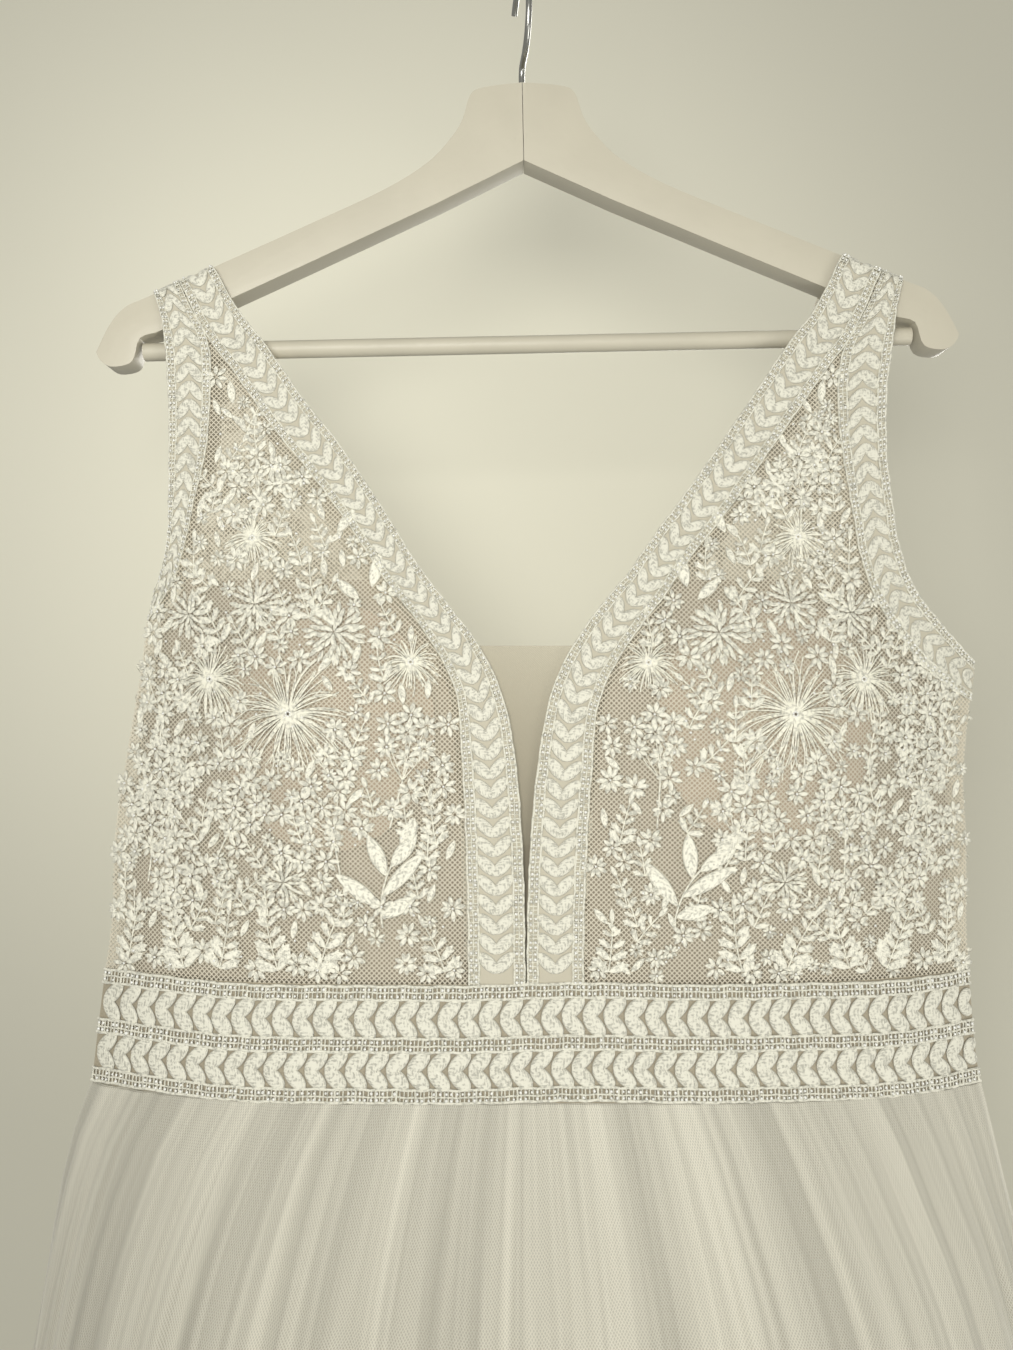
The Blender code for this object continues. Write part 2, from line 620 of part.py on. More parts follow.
def underskirt_panel(name, face, material):
    """The smooth layer inside the tulle."""
    outer, inner = [], []
    for ring, inset in zip(SKIRT, UNDER_INSET):
        z = ring[0] + UNDER_HEM_RISE if ring is SKIRT[-1] else ring[0]
        outer_row, inner_row = [], []
        for column in range(UNDER_COLUMNS + 1):
            across = -1 + 2 * column / UNDER_COLUMNS
            point = section_point(ring, across, face, UNDER_SIDE_INSET, inset)
            out = across_normal(ring, across, face, UNDER_SIDE_INSET, inset)
            inside = point - out * SKIRT_WALL
            if abs(across) == 1.0:
                inside = Vector((point.x - across * SKIRT_WALL * 2, point.y))
            outer_row.append(Vector((point.x, point.y, z)))
            inner_row.append(Vector((inside.x, inside.y, z)))
        outer.append(outer_row)
        inner.append(inner_row)
    wall_from_grid(name, outer, inner, material)


def closure():
    """A plain fly over the centre back with a row of covered buttons."""
    lifts = (TRIM_WALL + LEAF_RISE + GAP, TRIM_WALL + LEAF_RISE + GAP + PLACKET_WALL)
    grids = []
    for lift in lifts:
        grids.append([[cloth_point(CENTRE + PLACKET_HALF_WIDTH * column, z, 1, lift) for column in (-1, 0, 1)]
                      for z in (PLACKET_TOP, (PLACKET_TOP + WAIST_SEAM) / 2, WAIST_SEAM)])
    wall_from_grid("back_placket", grids[1], grids[0], trim)
    for number in range(BUTTONS):
        bm = bmesh.new()
        bmesh.ops.create_uvsphere(bm, u_segments=8, v_segments=5, radius=BUTTON_DIAMETER / 2)
        bmesh.ops.scale(bm, vec=(1, BUTTON_FLATNESS, 1), verts=bm.verts)
        seat = cloth_point(CENTRE, FIRST_BUTTON - BUTTON_PITCH * number, 1,
                           lifts[1] + GAP + BUTTON_DIAMETER / 2 * BUTTON_FLATNESS)
        bmesh.ops.translate(bm, verts=bm.verts, vec=seat)
        add_object(f"back_button_{number + 1}", bm, trim)


# Finishes
wood = paint("painted_wood", (0.78, 0.75, 0.66), 0.45)
steel = paint("hook_wire", (0.62, 0.62, 0.6), 0.25, 1.0)
trim = paint("leaf_trim", (0.86, 0.84, 0.78), 0.7)
net = paint("lace_net", (0.66, 0.6, 0.5), 0.85)
nude = paint("nude_mesh", (0.75, 0.66, 0.54), 0.9)
foam = paint("cup_foam", (0.8, 0.7, 0.58), 0.9)
tulle = paint("tulle", (0.82, 0.8, 0.72), 0.8)
ivory = paint("underskirt_cloth", (0.84, 0.82, 0.75), 0.6)

# Hanger
hanger_arm("left")
hanger_arm("right")
hanger_bar()
hanger_hook()

# Bodice, one side after the other, front then back
v_edges = {}
for side in ("left", "right"):
    for face, place in ((-1, "front"), (1, "back")):
        neck_rows = smooth_rows(NECK[side])
        if face > 0:
            neck_rows = bent(neck_rows, side)
        arm_rows = keep_clear(smooth_rows(ARM[side]), neck_rows, side)
        neck_edge = chevron_trim(f"neck_trim_{place}_{side}", Strip(neck_rows), face, LEAF_PITCH,
                                 LEAF_LEAD, STRAP_QUARTER)
        arm_edge = chevron_trim(f"arm_trim_{place}_{side}", Strip(arm_rows), face, LEAF_PITCH,
                                -LEAF_LEAD, STRAP_QUARTER)
        ends = panel_rows(side, neck_edge, arm_edge)
        net_panel(f"{place}_net_{side}", ends, face, (0.0, NET_WALL),
                  FRONT_COLUMNS if face < 0 else BACK_COLUMNS, net)
        if face < 0:
            v_edges[side] = neck_rows
            front_lining(side, ends)
            cup(side)

# Mesh in the V, waist, skirt and closure
neck_insert(v_edges["left"], v_edges["right"])
waist_trims()
tulle_panel("skirt_tulle_front", -1, tulle)
tulle_panel("skirt_tulle_back", 1, tulle)
underskirt_panel("underskirt_front", -1, ivory)
underskirt_panel("underskirt_back", 1, ivory)
closure()
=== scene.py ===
"""Looks of a wedding dress that hangs flat on a painted wooden hanger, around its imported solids.

Sizes are in millimetres until a piece is finished. Cloth is modelled as it is cut, flat, with x across,
y up off the cloth and z along it, and then hung. Left and right are the viewer's.
"""
import math
import random

import bmesh
import bpy
import numpy as np
from mathutils import Matrix, Vector


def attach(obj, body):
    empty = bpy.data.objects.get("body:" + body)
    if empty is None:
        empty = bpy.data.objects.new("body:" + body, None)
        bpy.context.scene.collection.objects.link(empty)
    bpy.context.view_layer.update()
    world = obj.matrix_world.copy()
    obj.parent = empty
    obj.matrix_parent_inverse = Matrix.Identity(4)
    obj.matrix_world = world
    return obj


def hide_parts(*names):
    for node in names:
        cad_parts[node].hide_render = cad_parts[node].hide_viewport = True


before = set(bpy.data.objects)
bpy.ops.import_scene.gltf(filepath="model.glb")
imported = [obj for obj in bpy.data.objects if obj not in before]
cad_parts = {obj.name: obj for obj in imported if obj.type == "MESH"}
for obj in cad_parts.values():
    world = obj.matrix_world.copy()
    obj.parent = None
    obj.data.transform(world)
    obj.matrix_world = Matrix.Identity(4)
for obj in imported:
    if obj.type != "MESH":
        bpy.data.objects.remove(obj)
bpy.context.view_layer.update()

MM = 0.001


# Studio
# A plain pale floor and wall, soft light from the front, and the camera where the photo was taken.
# The wall is seen from the front only. It glows a little, so that the dress throws only a faint shadow on it. Its glow
# and colour make a painted pool of light, brightest round a middle and darker away from it.
WALL_Y = 0.145
FLOOR_Z = -1.70
STUDIO_GLOW = 0.75
PAINTED_LIGHT_MIDDLE = (-0.11, 0.145, -0.2)


def studio_plane(name, size, matrix, colour, fade):
    """A plain matt plane with a faint glow, seen from its front only; colour and glow fade away from a middle by fade,
    a painted pool of light.
    """
    bm = bmesh.new()
    bmesh.ops.create_grid(bm, x_segments=1, y_segments=1, size=size, matrix=matrix)
    mesh = bpy.data.meshes.new(name)
    bm.to_mesh(mesh)
    bm.free()
    plane = bpy.data.objects.new(name, mesh)
    bpy.context.scene.collection.objects.link(plane)
    material = bpy.data.materials.new(name)
    material.use_nodes = True
    tree = material.node_tree
    shader = tree.nodes["Principled BSDF"]
    shader.inputs["Base Color"].default_value = (*colour, 1.0)
    shader.inputs["Roughness"].default_value = 0.9
    shader.inputs["Emission Strength"].default_value = STUDIO_GLOW
    place = tree.nodes.new("ShaderNodeTexCoord")
    distance = tree.nodes.new("ShaderNodeVectorMath")
    distance.operation = "DISTANCE"
    distance.inputs[1].default_value = PAINTED_LIGHT_MIDDLE
    tree.links.new(place.outputs["Object"], distance.inputs[0])
    shade = tree.nodes.new("ShaderNodeMapRange")
    shade.interpolation_type = "SMOOTHSTEP"
    shade.inputs["From Max"].default_value = 0.5
    tree.links.new(distance.outputs["Value"], shade.inputs["Value"])
    painted_light_tone = tree.nodes.new("ShaderNodeMix")
    painted_light_tone.data_type = "RGBA"
    painted_light_tone.inputs[6].default_value = (*colour, 1.0)
    painted_light_tone.inputs[7].default_value = (*(part * fade for part in colour), 1.0)
    tree.links.new(shade.outputs["Result"], painted_light_tone.inputs["Factor"])
    for socket in ("Base Color", "Emission Color"):
        tree.links.new(painted_light_tone.outputs[2], shader.inputs[socket])
    clear = tree.nodes.new("ShaderNodeBsdfTransparent")
    behind = tree.nodes.new("ShaderNodeNewGeometry")
    mix = tree.nodes.new("ShaderNodeMixShader")
    tree.links.new(behind.outputs["Backfacing"], mix.inputs["Fac"])
    tree.links.new(shader.outputs["BSDF"], mix.inputs[1])
    tree.links.new(clear.outputs["BSDF"], mix.inputs[2])
    tree.links.new(mix.outputs["Shader"], tree.nodes["Material Output"].inputs["Surface"])
    mesh.materials.append(material)
    plane.visible_diffuse = False
    plane.visible_glossy = False
    plane.visible_shadow = False


def soft_light(name, place, aim, width, watts, colour):
    """A large square lamp turned to a point."""
    lamp = bpy.data.lights.new(name, "AREA")
    lamp.size = width
    lamp.energy = watts
    lamp.color = colour
    holder = bpy.data.objects.new(name, lamp)
    holder.location = place
    holder.rotation_euler = (Vector(aim) - Vector(place)).to_track_quat("-Z", "Y").to_euler()
    bpy.context.scene.collection.objects.link(holder)


# The wall's fade of 0.62 is a painted falloff of light away from its middle; the floor, with none, is evenly bright.
studio_plane("wall", 4.0, Matrix.Translation((0, WALL_Y, 0)) @ Matrix.Rotation(math.radians(90), 4, "X"),
             (0.45, 0.437, 0.36), 0.62)
studio_plane("floor", 6.0, Matrix.Translation((0, 0, FLOOR_Z)), (0.3, 0.29, 0.24), 1.0)
soft_light("window", (-0.19, -0.95, -0.2), (-0.05, 0.0, -0.33), 0.5, 7.9, (1.0, 0.985, 0.94))
soft_light("room", (0.85, -0.75, -1.0), (0.4, 0.0, -0.72), 0.6, 5.0, (1.0, 0.985, 0.93))
soft_light("far_room", (0.9, 2.4, 0.5), (0.0, 0.0, -0.7), 1.8, 70.0, (1.0, 0.985, 0.93))

camera_lens = bpy.data.cameras.new("camera")
camera_lens.sensor_fit = "VERTICAL"
camera_lens.sensor_height = 36.0
camera_lens.lens = 27.84
camera_lens.clip_start = 0.02
camera = bpy.data.objects.new("camera", camera_lens)
camera.location = (-0.0067, -0.527, -0.3478)
camera.rotation_euler = (math.radians(90), 0, 0)
bpy.context.scene.collection.objects.link(camera)
bpy.context.scene.camera = camera

world = bpy.data.worlds.new("room_light")
world.use_nodes = True
world.node_tree.nodes["Background"].inputs["Color"].default_value = (0.96, 0.95, 0.87, 1.0)
world.node_tree.nodes["Background"].inputs["Strength"].default_value = 0.4
bpy.context.scene.world = world
bpy.context.scene.view_settings.view_transform = "Standard"


# Hanger arms
# Two halves of smooth wood, sawn to shape, their edges rounded over, glued at the centre seam and
# painted satin off-white. The hanger leans a little, with its right end up.
HANGER_LEAN_DEGREES = 1.2
HANGER_THICKNESS = 14.0
ARM_ROUNDING = 3.0
ARM_JOINT_FLAT = 5.0
# One half seen from the front: x from the centre, then z
ARM_TOP = [(0.15, -52.6), (19, -54.6), (26, -58.2), (30, -70), (36, -79.4), (48, -91.5), (70, -104.6),
           (107, -120.8), (147, -137.8), (188, -155.2), (200, -160.4), (208, -169), (215, -182.5)]
ARM_END = [(213, -186.6), (208, -189.8), (200, -189), (196.2, -185.6), (193.2, -176)]
ARM_UNDER = [(185, -173.4), (148, -157.5), (110, -141), (44, -112), (0.15, -91.4)]
PAINT_COLOUR = (0.515, 0.484, 0.39)


def lean(x, z):
    """Turns a place on the level hanger by its lean about the hook's top."""
    turn = math.radians(HANGER_LEAN_DEGREES)
    return x * math.cos(turn) - z * math.sin(turn), x * math.sin(turn) + z * math.cos(turn)


def smooth_curve(points, steps):
    """Close points on a smooth curve through the rows given, each row a tuple of numbers."""
    rows = np.array(points, float)
    padded = np.vstack([rows[:1], rows, rows[-1:]])
    close = []
    for before, start, end, after in zip(padded, padded[1:], padded[2:], padded[3:]):
        for step in range(steps):
            t = step / steps
            cubic = (-before + 3 * start - 3 * end + after) * t ** 3
            square = (2 * before - 5 * start + 4 * end - after) * t ** 2
            close.append(start + (cubic + square + (end - before) * t) * 0.5)
    close.append(rows[-1])
    return np.array(close)


def node(tree, kind, links=(), **values):
    """Adds a shader node, sets its plain inputs by name or number and links others."""
    made = tree.nodes.new(kind)
    for name, value in values.items():
        if name.startswith("in"):
            made.inputs[int(name[2:])].default_value = value
        else:
            setattr(made, name, value)
    for target, source in links:
        tree.links.new(source, made.inputs[target])
    return made


def new_group(name, inputs, outputs):
    """An empty shader node group with named float or vector sockets."""
    group = bpy.data.node_groups.new(name, "ShaderNodeTree")
    for label, kind, value in inputs:
        socket = group.interface.new_socket(label, in_out="INPUT", socket_type=kind)
        if value is not None:
            socket.default_value = value
    for label in outputs:
        group.interface.new_socket(label, in_out="OUTPUT", socket_type="NodeSocketFloat")
    return group, group.nodes.new("NodeGroupInput"), group.nodes.new("NodeGroupOutput")


def soft_mottle():
    """Group: slow and fine unevenness over a surface, for shade and height."""
    group, given, result = new_group(
        "soft_mottle", [("Place", "NodeSocketVector", None), ("Size", "NodeSocketFloat", 60.0)],
        ["Slow", "Fine"])
    for label, factor in (("Slow", 1.0), ("Fine", 7.0)):
        scale = node(group, "ShaderNodeMath", [(0, given.outputs["Size"])], operation="MULTIPLY", in1=factor)
        noise = node(group, "ShaderNodeTexNoise", [("Vector", given.outputs["Place"]), ("Scale", scale.outputs[0])])
        noise.inputs["Detail"].default_value = 3.0
        group.links.new(noise.outputs["Fac"], result.inputs[label])
    return group


MOTTLE = soft_mottle()


def finish_material(name, colour, roughness, metallic=0.0, sheen=0.0, coat=0.0):
    """A material with a Principled shader, ready for its pattern."""
    material = bpy.data.materials.new(name)
    material.use_nodes = True
    shader = material.node_tree.nodes["Principled BSDF"]
    shader.inputs["Base Color"].default_value = (*colour, 1.0)
    shader.inputs["Roughness"].default_value = roughness
    shader.inputs["Metallic"].default_value = metallic
    shader.inputs["Sheen Weight"].default_value = sheen
    shader.inputs["Sheen Roughness"].default_value = 0.4
    shader.inputs["Coat Weight"].default_value = coat
    return material, material.node_tree, shader


def shade_by(tree, shader, mask, dark, light):
    """Colours the shader between two colours by a mask."""
    mix = node(tree, "ShaderNodeMix", [("Factor", mask)], data_type="RGBA")
    mix.inputs[6].default_value = (*dark, 1.0)
    mix.inputs[7].default_value = (*light, 1.0)
    tree.links.new(mix.outputs[2], shader.inputs["Base Color"])


def raise_by(tree, shader, height, distance, strength=1.0):
    """Bump from a height on the shader's normal."""
    bump = node(tree, "ShaderNodeBump", [("Height", height)])
    bump.inputs["Distance"].default_value = distance
    bump.inputs["Strength"].default_value = strength
    tree.links.new(bump.outputs["Normal"], shader.inputs["Normal"])


def mottled(tree, size):
    """The mottle group on object coordinates at a size of pattern in units a metre."""
    place = node(tree, "ShaderNodeTexCoord")
    made = node(tree, "ShaderNodeGroup", node_tree=MOTTLE)
    tree.links.new(place.outputs["Object"], made.inputs["Place"])
    made.inputs["Size"].default_value = size
    return made


def tinted(colour, factor):
    """A colour made darker or lighter."""
    return tuple(min(part * factor, 1.0) for part in colour)


def painted_wood():
    """Satin paint with faint brush unevenness."""
    material, tree, shader = finish_material("painted_wood", PAINT_COLOUR, 0.5, coat=0.06)
    uneven = mottled(tree, 35.0)
    shade_by(tree, shader, uneven.outputs["Slow"], tinted(PAINT_COLOUR, 0.93), tinted(PAINT_COLOUR, 1.05))
    raise_by(tree, shader, uneven.outputs["Fine"], 0.0002, 0.5)
    return material


def finish_piece(name, bm, materials, nodes, hang=None, cut=None, flat_edges=None):
    """Turns a bmesh in millimetres into a piece on the body, hung by a function where it is cloth.

    hang takes the points and gives their hung places and the ways out of the cloth there. cut gives
    the places on the flat cloth, in millimetres, that the weave follows.
    """
    mesh = bpy.data.meshes.new(name)
    bm.to_mesh(mesh)
    bm.free()
    for material in materials:
        mesh.materials.append(material)
    points = np.zeros(len(mesh.vertices) * 3)
    mesh.vertices.foreach_get("co", points)
    points = points.reshape(-1, 3)
    if cut is not None:
        flat = cut(points) * MM
        corners = np.zeros(len(mesh.loops), int)
        mesh.loops.foreach_get("vertex_index", corners)
        mesh.uv_layers.new(name="cut").data.foreach_set("uv", flat[corners].ravel())
    if hang is not None:
        points, out = hang(points)
    mesh.vertices.foreach_set("co", (points * MM).ravel())
    mesh.update()
    if hang is not None:
        normals = np.zeros(len(mesh.vertices) * 3)
        mesh.vertices.foreach_get("normal", normals)
        if (normals.reshape(-1, 3) * out).sum() < 0:
            mesh.flip_normals()
    mesh.shade_smooth()
    if flat_edges is not None:
        mesh.set_sharp_from_angle(angle=math.radians(flat_edges))
    piece = bpy.data.objects.new(name, mesh)
    bpy.context.scene.collection.objects.link(piece)
    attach(piece, "root")
    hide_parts(*nodes)
    return piece


WOOD = painted_wood()

for side, sign in (("left", -1), ("right", 1)):
    top = smooth_curve([(sign * x, z) for x, z in ARM_TOP], 4)
    end = smooth_curve([(sign * x, z) for x, z in ARM_TOP[-1:] + ARM_END + ARM_UNDER[:1]], 3)[1:-1]
    under = np.array([(sign * x, z) for x, z in ARM_UNDER])
    outline = [lean(x, z) for x, z in np.vstack([top, end, under])]
    bm = bmesh.new()
    front = bm.faces.new([bm.verts.new((x, -HANGER_THICKNESS / 2, z)) for x, z in outline])
    pushed = bmesh.ops.extrude_face_region(bm, geom=[front])
    moved = [item for item in pushed["geom"] if isinstance(item, bmesh.types.BMVert)]
    bmesh.ops.translate(bm, verts=moved, vec=(0, HANGER_THICKNESS, 0))
    seam = min(abs(vertex.co.x) for vertex in bm.verts)
    long_edges = [edge for edge in bm.edges
                  if abs(edge.verts[0].co.y - edge.verts[1].co.y) < 0.1
                  and max(abs(vertex.co.x) for vertex in edge.verts) > seam + ARM_JOINT_FLAT]
    bmesh.ops.bevel(bm, geom=long_edges, offset=ARM_ROUNDING, segments=4, profile=0.5, affect="EDGES",
                    clamp_overlap=True, material=-1)
    bmesh.ops.recalc_face_normals(bm, faces=bm.faces)
    finish_piece(f"wood_arm_{side}", bm, [WOOD], [f"hanger_arm_{side}"], flat_edges=35)


# Hanger bar
# A turned round bar, painted with the arms and let into their tips.
BAR_DIAMETER = 8.8
BAR_Z = -181.0
BAR_HALF_LENGTH = 193.0

bm = bmesh.new()
bmesh.ops.create_cone(bm, cap_ends=True, segments=40, radius1=BAR_DIAMETER / 2, radius2=BAR_DIAMETER / 2,
                      depth=BAR_HALF_LENGTH * 2, matrix=Matrix.Rotation(math.radians(90), 4, "Y"))
for vertex in bm.verts:
    vertex.co.x, vertex.co.z = lean(vertex.co.x, vertex.co.z + BAR_Z)
finish_piece("wood_bar", bm, [WOOD], ["hanger_bar"], flat_edges=40)


# Hook
# Bright round wire, its shaft driven into the wood and its round part turned nearly edge-on.
WIRE = 3.1
HOOK_RADIUS = 21.5
HOOK_START_DEGREES = 258.0
HOOK_SWEEP_DEGREES = 215.0
HOOK_TURN_DEGREES = 10.0
HOOK_STEPS = 48
SHAFT = [(0.0, -52.2), (0.0, -50.0), (0.0, -47.0), (-0.25, -45.3), (-0.7, -43.9), (-1.35, -42.8), (-2.2, -41.9)]
STEEL_COLOUR = (0.42, 0.42, 0.40)


def couch(bm, paths, radius, roundness=0):
    """Lays cords of one thickness along paths of points and adds them to the work."""
    curve = bpy.data.curves.new("cord", "CURVE")
    curve.dimensions = "3D"
    curve.bevel_depth = radius
    curve.bevel_resolution = roundness
    curve.use_fill_caps = True
    for path in paths:
        spline = curve.splines.new("POLY")
        spline.points.add(len(path) - 1)
        spline.points.foreach_set("co", [number for point in path for number in (*point, 1.0)])
    holder = bpy.data.objects.new("cord", curve)
    mesh = bpy.data.meshes.new_from_object(holder)
    bm.from_mesh(mesh)
    bpy.data.objects.remove(holder)
    bpy.data.curves.remove(curve)
    bpy.data.meshes.remove(mesh)


def hook_steel():
    """Plain bright steel with faint drawing marks."""
    material, tree, shader = finish_material("hook_steel", STEEL_COLOUR, 0.24, metallic=1.0)
    uneven = mottled(tree, 160.0)
    raise_by(tree, shader, uneven.outputs["Fine"], 0.00004, 0.4)
    return material


path = []
for depth, z in SHAFT + [
        (HOOK_RADIUS * math.cos(math.radians(HOOK_START_DEGREES - HOOK_SWEEP_DEGREES * step / HOOK_STEPS)),
         WIRE / 2 - HOOK_RADIUS
         + HOOK_RADIUS * math.sin(math.radians(HOOK_START_DEGREES - HOOK_SWEEP_DEGREES * step / HOOK_STEPS)))
        for step in range(HOOK_STEPS + 1)]:
    turn = math.radians(HOOK_TURN_DEGREES)
    x, z = lean(-depth * math.sin(turn), z)
    path.append((x, depth * math.cos(turn), z))
bm = bmesh.new()
couch(bm, [path], WIRE / 2, 6)
finish_piece("wire_hook", bm, [hook_steel()], ["hanger_hook"], flat_edges=50)


# Cups
# Two moulded foam cups covered with smooth nude cloth, sewn between the net and the lining. They show
# through the net as smooth lighter shapes. The bodice's hung form is worked out here from its sizes.
CENTRE = 2.6
WAIST_TOP = -495.0
GAP = 0.3
STRAP_RISE = 5.0
STRAP_CLEAR = 1.5
STRAP_QUARTER = 10.5
SIDE_FADE = 3.0
# Side line of the dress: height, x of the left side, x of the right side
SIDES = [(-300, -181.0, 226.0), (-322, -186.5, 227.0), (-344, -189.0, 227.4), (-364, -192.5, 224.6),
         (-400, -198.5, 221.6), (-430, -202.5, 223.2), (-470, -204.0, 223.2), (-497, -207.5, 224.4),
         (-510, -209.2, 225.6), (-530, -211.6, 227.2), (-551, -214.0, 230.0)]
# Depth: height, y of the front's side edge, its middle's stand, y of the back's side edge, its middle's stand
DEPTHS = [(-130, -8.2, 0.0, 8.2, 0.0), (-165, -8.2, 0.4, 8.2, 0.3), (-200, -8.4, 3.0, 8.4, 1.0),
          (-250, -8.0, 8.0, 6.5, 3.0), (-300, -5.0, 16.0, -1.0, 8.0), (-322, -4.0, 20.0, -3.7, 10.0),
          (-360, -4.0, 24.0, -3.7, 12.0), (-420, -4.0, 25.0, -3.7, 14.0), (-551, -4.0, 27.0, -3.7, 16.0)]
# Cups: x, z, half width, half height, how far the net stands over them
CUPS = {"left": (-92.0, -372.0, 52.0, 60.0, 17.0), "right": (118.0, -369.0, 54.0, 60.0, 18.0)}
CUP_RIM = 1.0
CUP_PADDING = 2.6
CUP_LIFT = -1.5
CUP_COLOUR = (0.50, 0.41, 0.31)
# Soft pulls in the hung bodice: x, z, length across, length up, turn in degrees, rise
PULLS = [(-150, -430, 9, 46, 16, 1.1), (-172, -360, 7, 40, -12, 1.0), (-60, -448, 8, 38, -20, -0.9),
         (-118, -455, 10, 30, 8, 0.8), (60, -440, 8, 40, 22, -0.9), (112, -452, 10, 34, -8, 0.9),
         (166, -432, 9, 44, -16, 1.1), (198, -380, 7, 44, 10, 1.0), (150, -300, 8, 26, 20, 0.7),
         (-140, -290, 7, 26, -20, 0.7)]

SMOOTH_DEPTHS = smooth_curve(DEPTHS, 8)
SMOOTH_SIDES = smooth_curve(SIDES, 6)
WOOD_TOP = np.array(sorted(lean(side * x, z) for side in (-1, 1) for x, z in ARM_TOP))


def at(table, z, column):
    """A column of a table whose first column falls, at heights z."""
    return np.interp(-np.asarray(z, float), -table[:, 0], table[:, column])


def bend_start(x):
    """Height where a strap starts to bend over the hanger arm."""
    return np.interp(x, WOOD_TOP[:, 0], WOOD_TOP[:, 1]) + STRAP_CLEAR - STRAP_RISE


def crest(x):
    """Flat height of the shoulder seam, measured up along the cloth."""
    return bend_start(x) + STRAP_QUARTER - GAP / 2


def side_line(x, z):
    """x of the side line on the side where x lies."""
    return np.where(x < CENTRE, at(SMOOTH_SIDES, z, 1), at(SMOOTH_SIDES, z, 2))


def bodice_y(x, z, face):
    """Depth of the bodice cloth on the front (face -1) or the back (face 1)."""
    across = np.minimum(np.abs((x - CENTRE) / (side_line(x, z) - CENTRE)), 1.1)
    arch = 1.0 - across ** 4
    fade = np.clip(arch * SIDE_FADE, 0.0, 1.0)
    pulls = np.zeros_like(arch)
    for pull_x, pull_z, wide, tall, turn, rise in PULLS:
        turn = math.radians(turn)
        along = (z - pull_z) * math.cos(turn) + (x - pull_x) * math.sin(turn)
        off = (x - pull_x) * math.cos(turn) - (z - pull_z) * math.sin(turn)
        pulls += rise * np.exp(-(off / wide) ** 2 - (along / tall) ** 2)
    if face > 0:
        return at(SMOOTH_DEPTHS, z, 3) + at(SMOOTH_DEPTHS, z, 4) * arch + pulls * fade
    y = at(SMOOTH_DEPTHS, z, 1) - at(SMOOTH_DEPTHS, z, 2) * arch - pulls * fade
    for cup_x, cup_z, half_width, half_height, stand in CUPS.values():
        distance = ((x - cup_x) / half_width) ** 2 + ((z - cup_z) / half_height) ** 2
        y -= stand * np.exp(-distance) * np.minimum(arch * SIDE_FADE, 1.0)
    return y


def skin(x, z, face):
    """Points on the cloth's inner face, where z above the bend runs over the hanger arm."""
    start = bend_start(x)
    y = bodice_y(x, np.minimum(z, start), face)
    angle = np.clip((z - start) / STRAP_QUARTER, 0.0, 1.0) * math.pi / 2
    height = np.where(z <= start, z, start + STRAP_RISE * np.sin(angle))
    return np.stack([x, y * np.cos(angle), height], axis=-1)


def hang_on(face):
    """A function that hangs flat cloth on the front or the back of the bodice."""
    def hang(points):
        x, lift, z = points.T
        along_x = skin(x + 1.0, z, face) - skin(x - 1.0, z, face)
        along_z = skin(x, z + 1.0, face) - skin(x, z - 1.0, face)
        out = np.cross(along_x, along_z) * -face
        out /= np.linalg.norm(out, axis=1)[:, None]
        return skin(x, z, face) + out * lift[:, None], out
    return hang


def new_uv_node(tree, name):
    """Reads one of the mesh's own maps."""
    made = tree.nodes.new("ShaderNodeUVMap")
    made.uv_map = name
    return made


def weave_group():
    """Group: threads of a plain weave, as a height, on the cut cloth."""
    group, given, result = new_group(
        "plain_weave", [("Cut", "NodeSocketVector", None), ("Threads", "NodeSocketFloat", 2000.0)], ["Height"])
    parts = node(group, "ShaderNodeSeparateXYZ", [(0, given.outputs["Cut"])])
    waves = []
    for axis in ("X", "Y"):
        turned = node(group, "ShaderNodeMath",
                      [(0, parts.outputs[axis]), (1, given.outputs["Threads"])], operation="MULTIPLY")
        waves.append(node(group, "ShaderNodeMath", [(0, turned.outputs[0])], operation="SINE"))
    both = node(group, "ShaderNodeMath", [(0, waves[0].outputs[0]), (1, waves[1].outputs[0])],
                operation="MULTIPLY")
    group.links.new(both.outputs[0], result.inputs["Height"])
    return group


WEAVE = weave_group()


def woven(name, colour, roughness, threads, sheen, alpha=1.0, mottle=30.0, depth=0.0001):
    """Cloth in a plain weave with slow unevenness of shade."""
    material, tree, shader = finish_material(name, colour, roughness, sheen=sheen)
    weave = node(tree, "ShaderNodeGroup", node_tree=WEAVE)
    tree.links.new(new_uv_node(tree, "cut").outputs["UV"], weave.inputs["Cut"])
    weave.inputs["Threads"].default_value = threads
    uneven = mottled(tree, mottle)
    shade_by(tree, shader, uneven.outputs["Slow"], tinted(colour, 0.93), tinted(colour, 1.05))
    raise_by(tree, shader, weave.outputs["Height"], depth, 0.6)
    shader.inputs["Alpha"].default_value = alpha
    return material


def on_the_flat(points):
    """The cut of bodice pieces is their own flat x and z."""
    return points[:, [0, 2]]


CUP_CLOTH = woven("cup_cloth", CUP_COLOUR, 0.8, 5200.0, 0.3)

for side in CUPS:
    cup_x, cup_z, half_width, half_height, _ = CUPS[side]
    bm = bmesh.new()
    bmesh.ops.create_uvsphere(bm, u_segments=48, v_segments=24, radius=1.0)
    for vertex in bm.verts:
        reach = min(vertex.co.xz.length, 1.0)
        depth = 0.5 - 0.5 * vertex.co.y / max(math.sqrt(1.0 - reach ** 2), 0.02)
        thick = CUP_RIM + CUP_PADDING * (1.0 - reach ** 2)
        vertex.co = Vector((cup_x + half_width * vertex.co.x, CUP_LIFT - thick * min(max(depth, 0.0), 1.0),
                            cup_z + half_height * vertex.co.z))
    piece = finish_piece(f"foam_cup_{side}", bm, [CUP_CLOTH], [f"cup_{side}"],
                         hang_on(-1), on_the_flat)


# Front lining
# Nude power mesh behind the cups, from the bust down to the waist, cut like the net in front of it.
# The edges of the trims are worked out here, because they bound the lining and the net.
LINING_TOP = -300.0
LINING_LIFT = -6.0
LINING_COLOUR = (0.40, 0.35, 0.27)
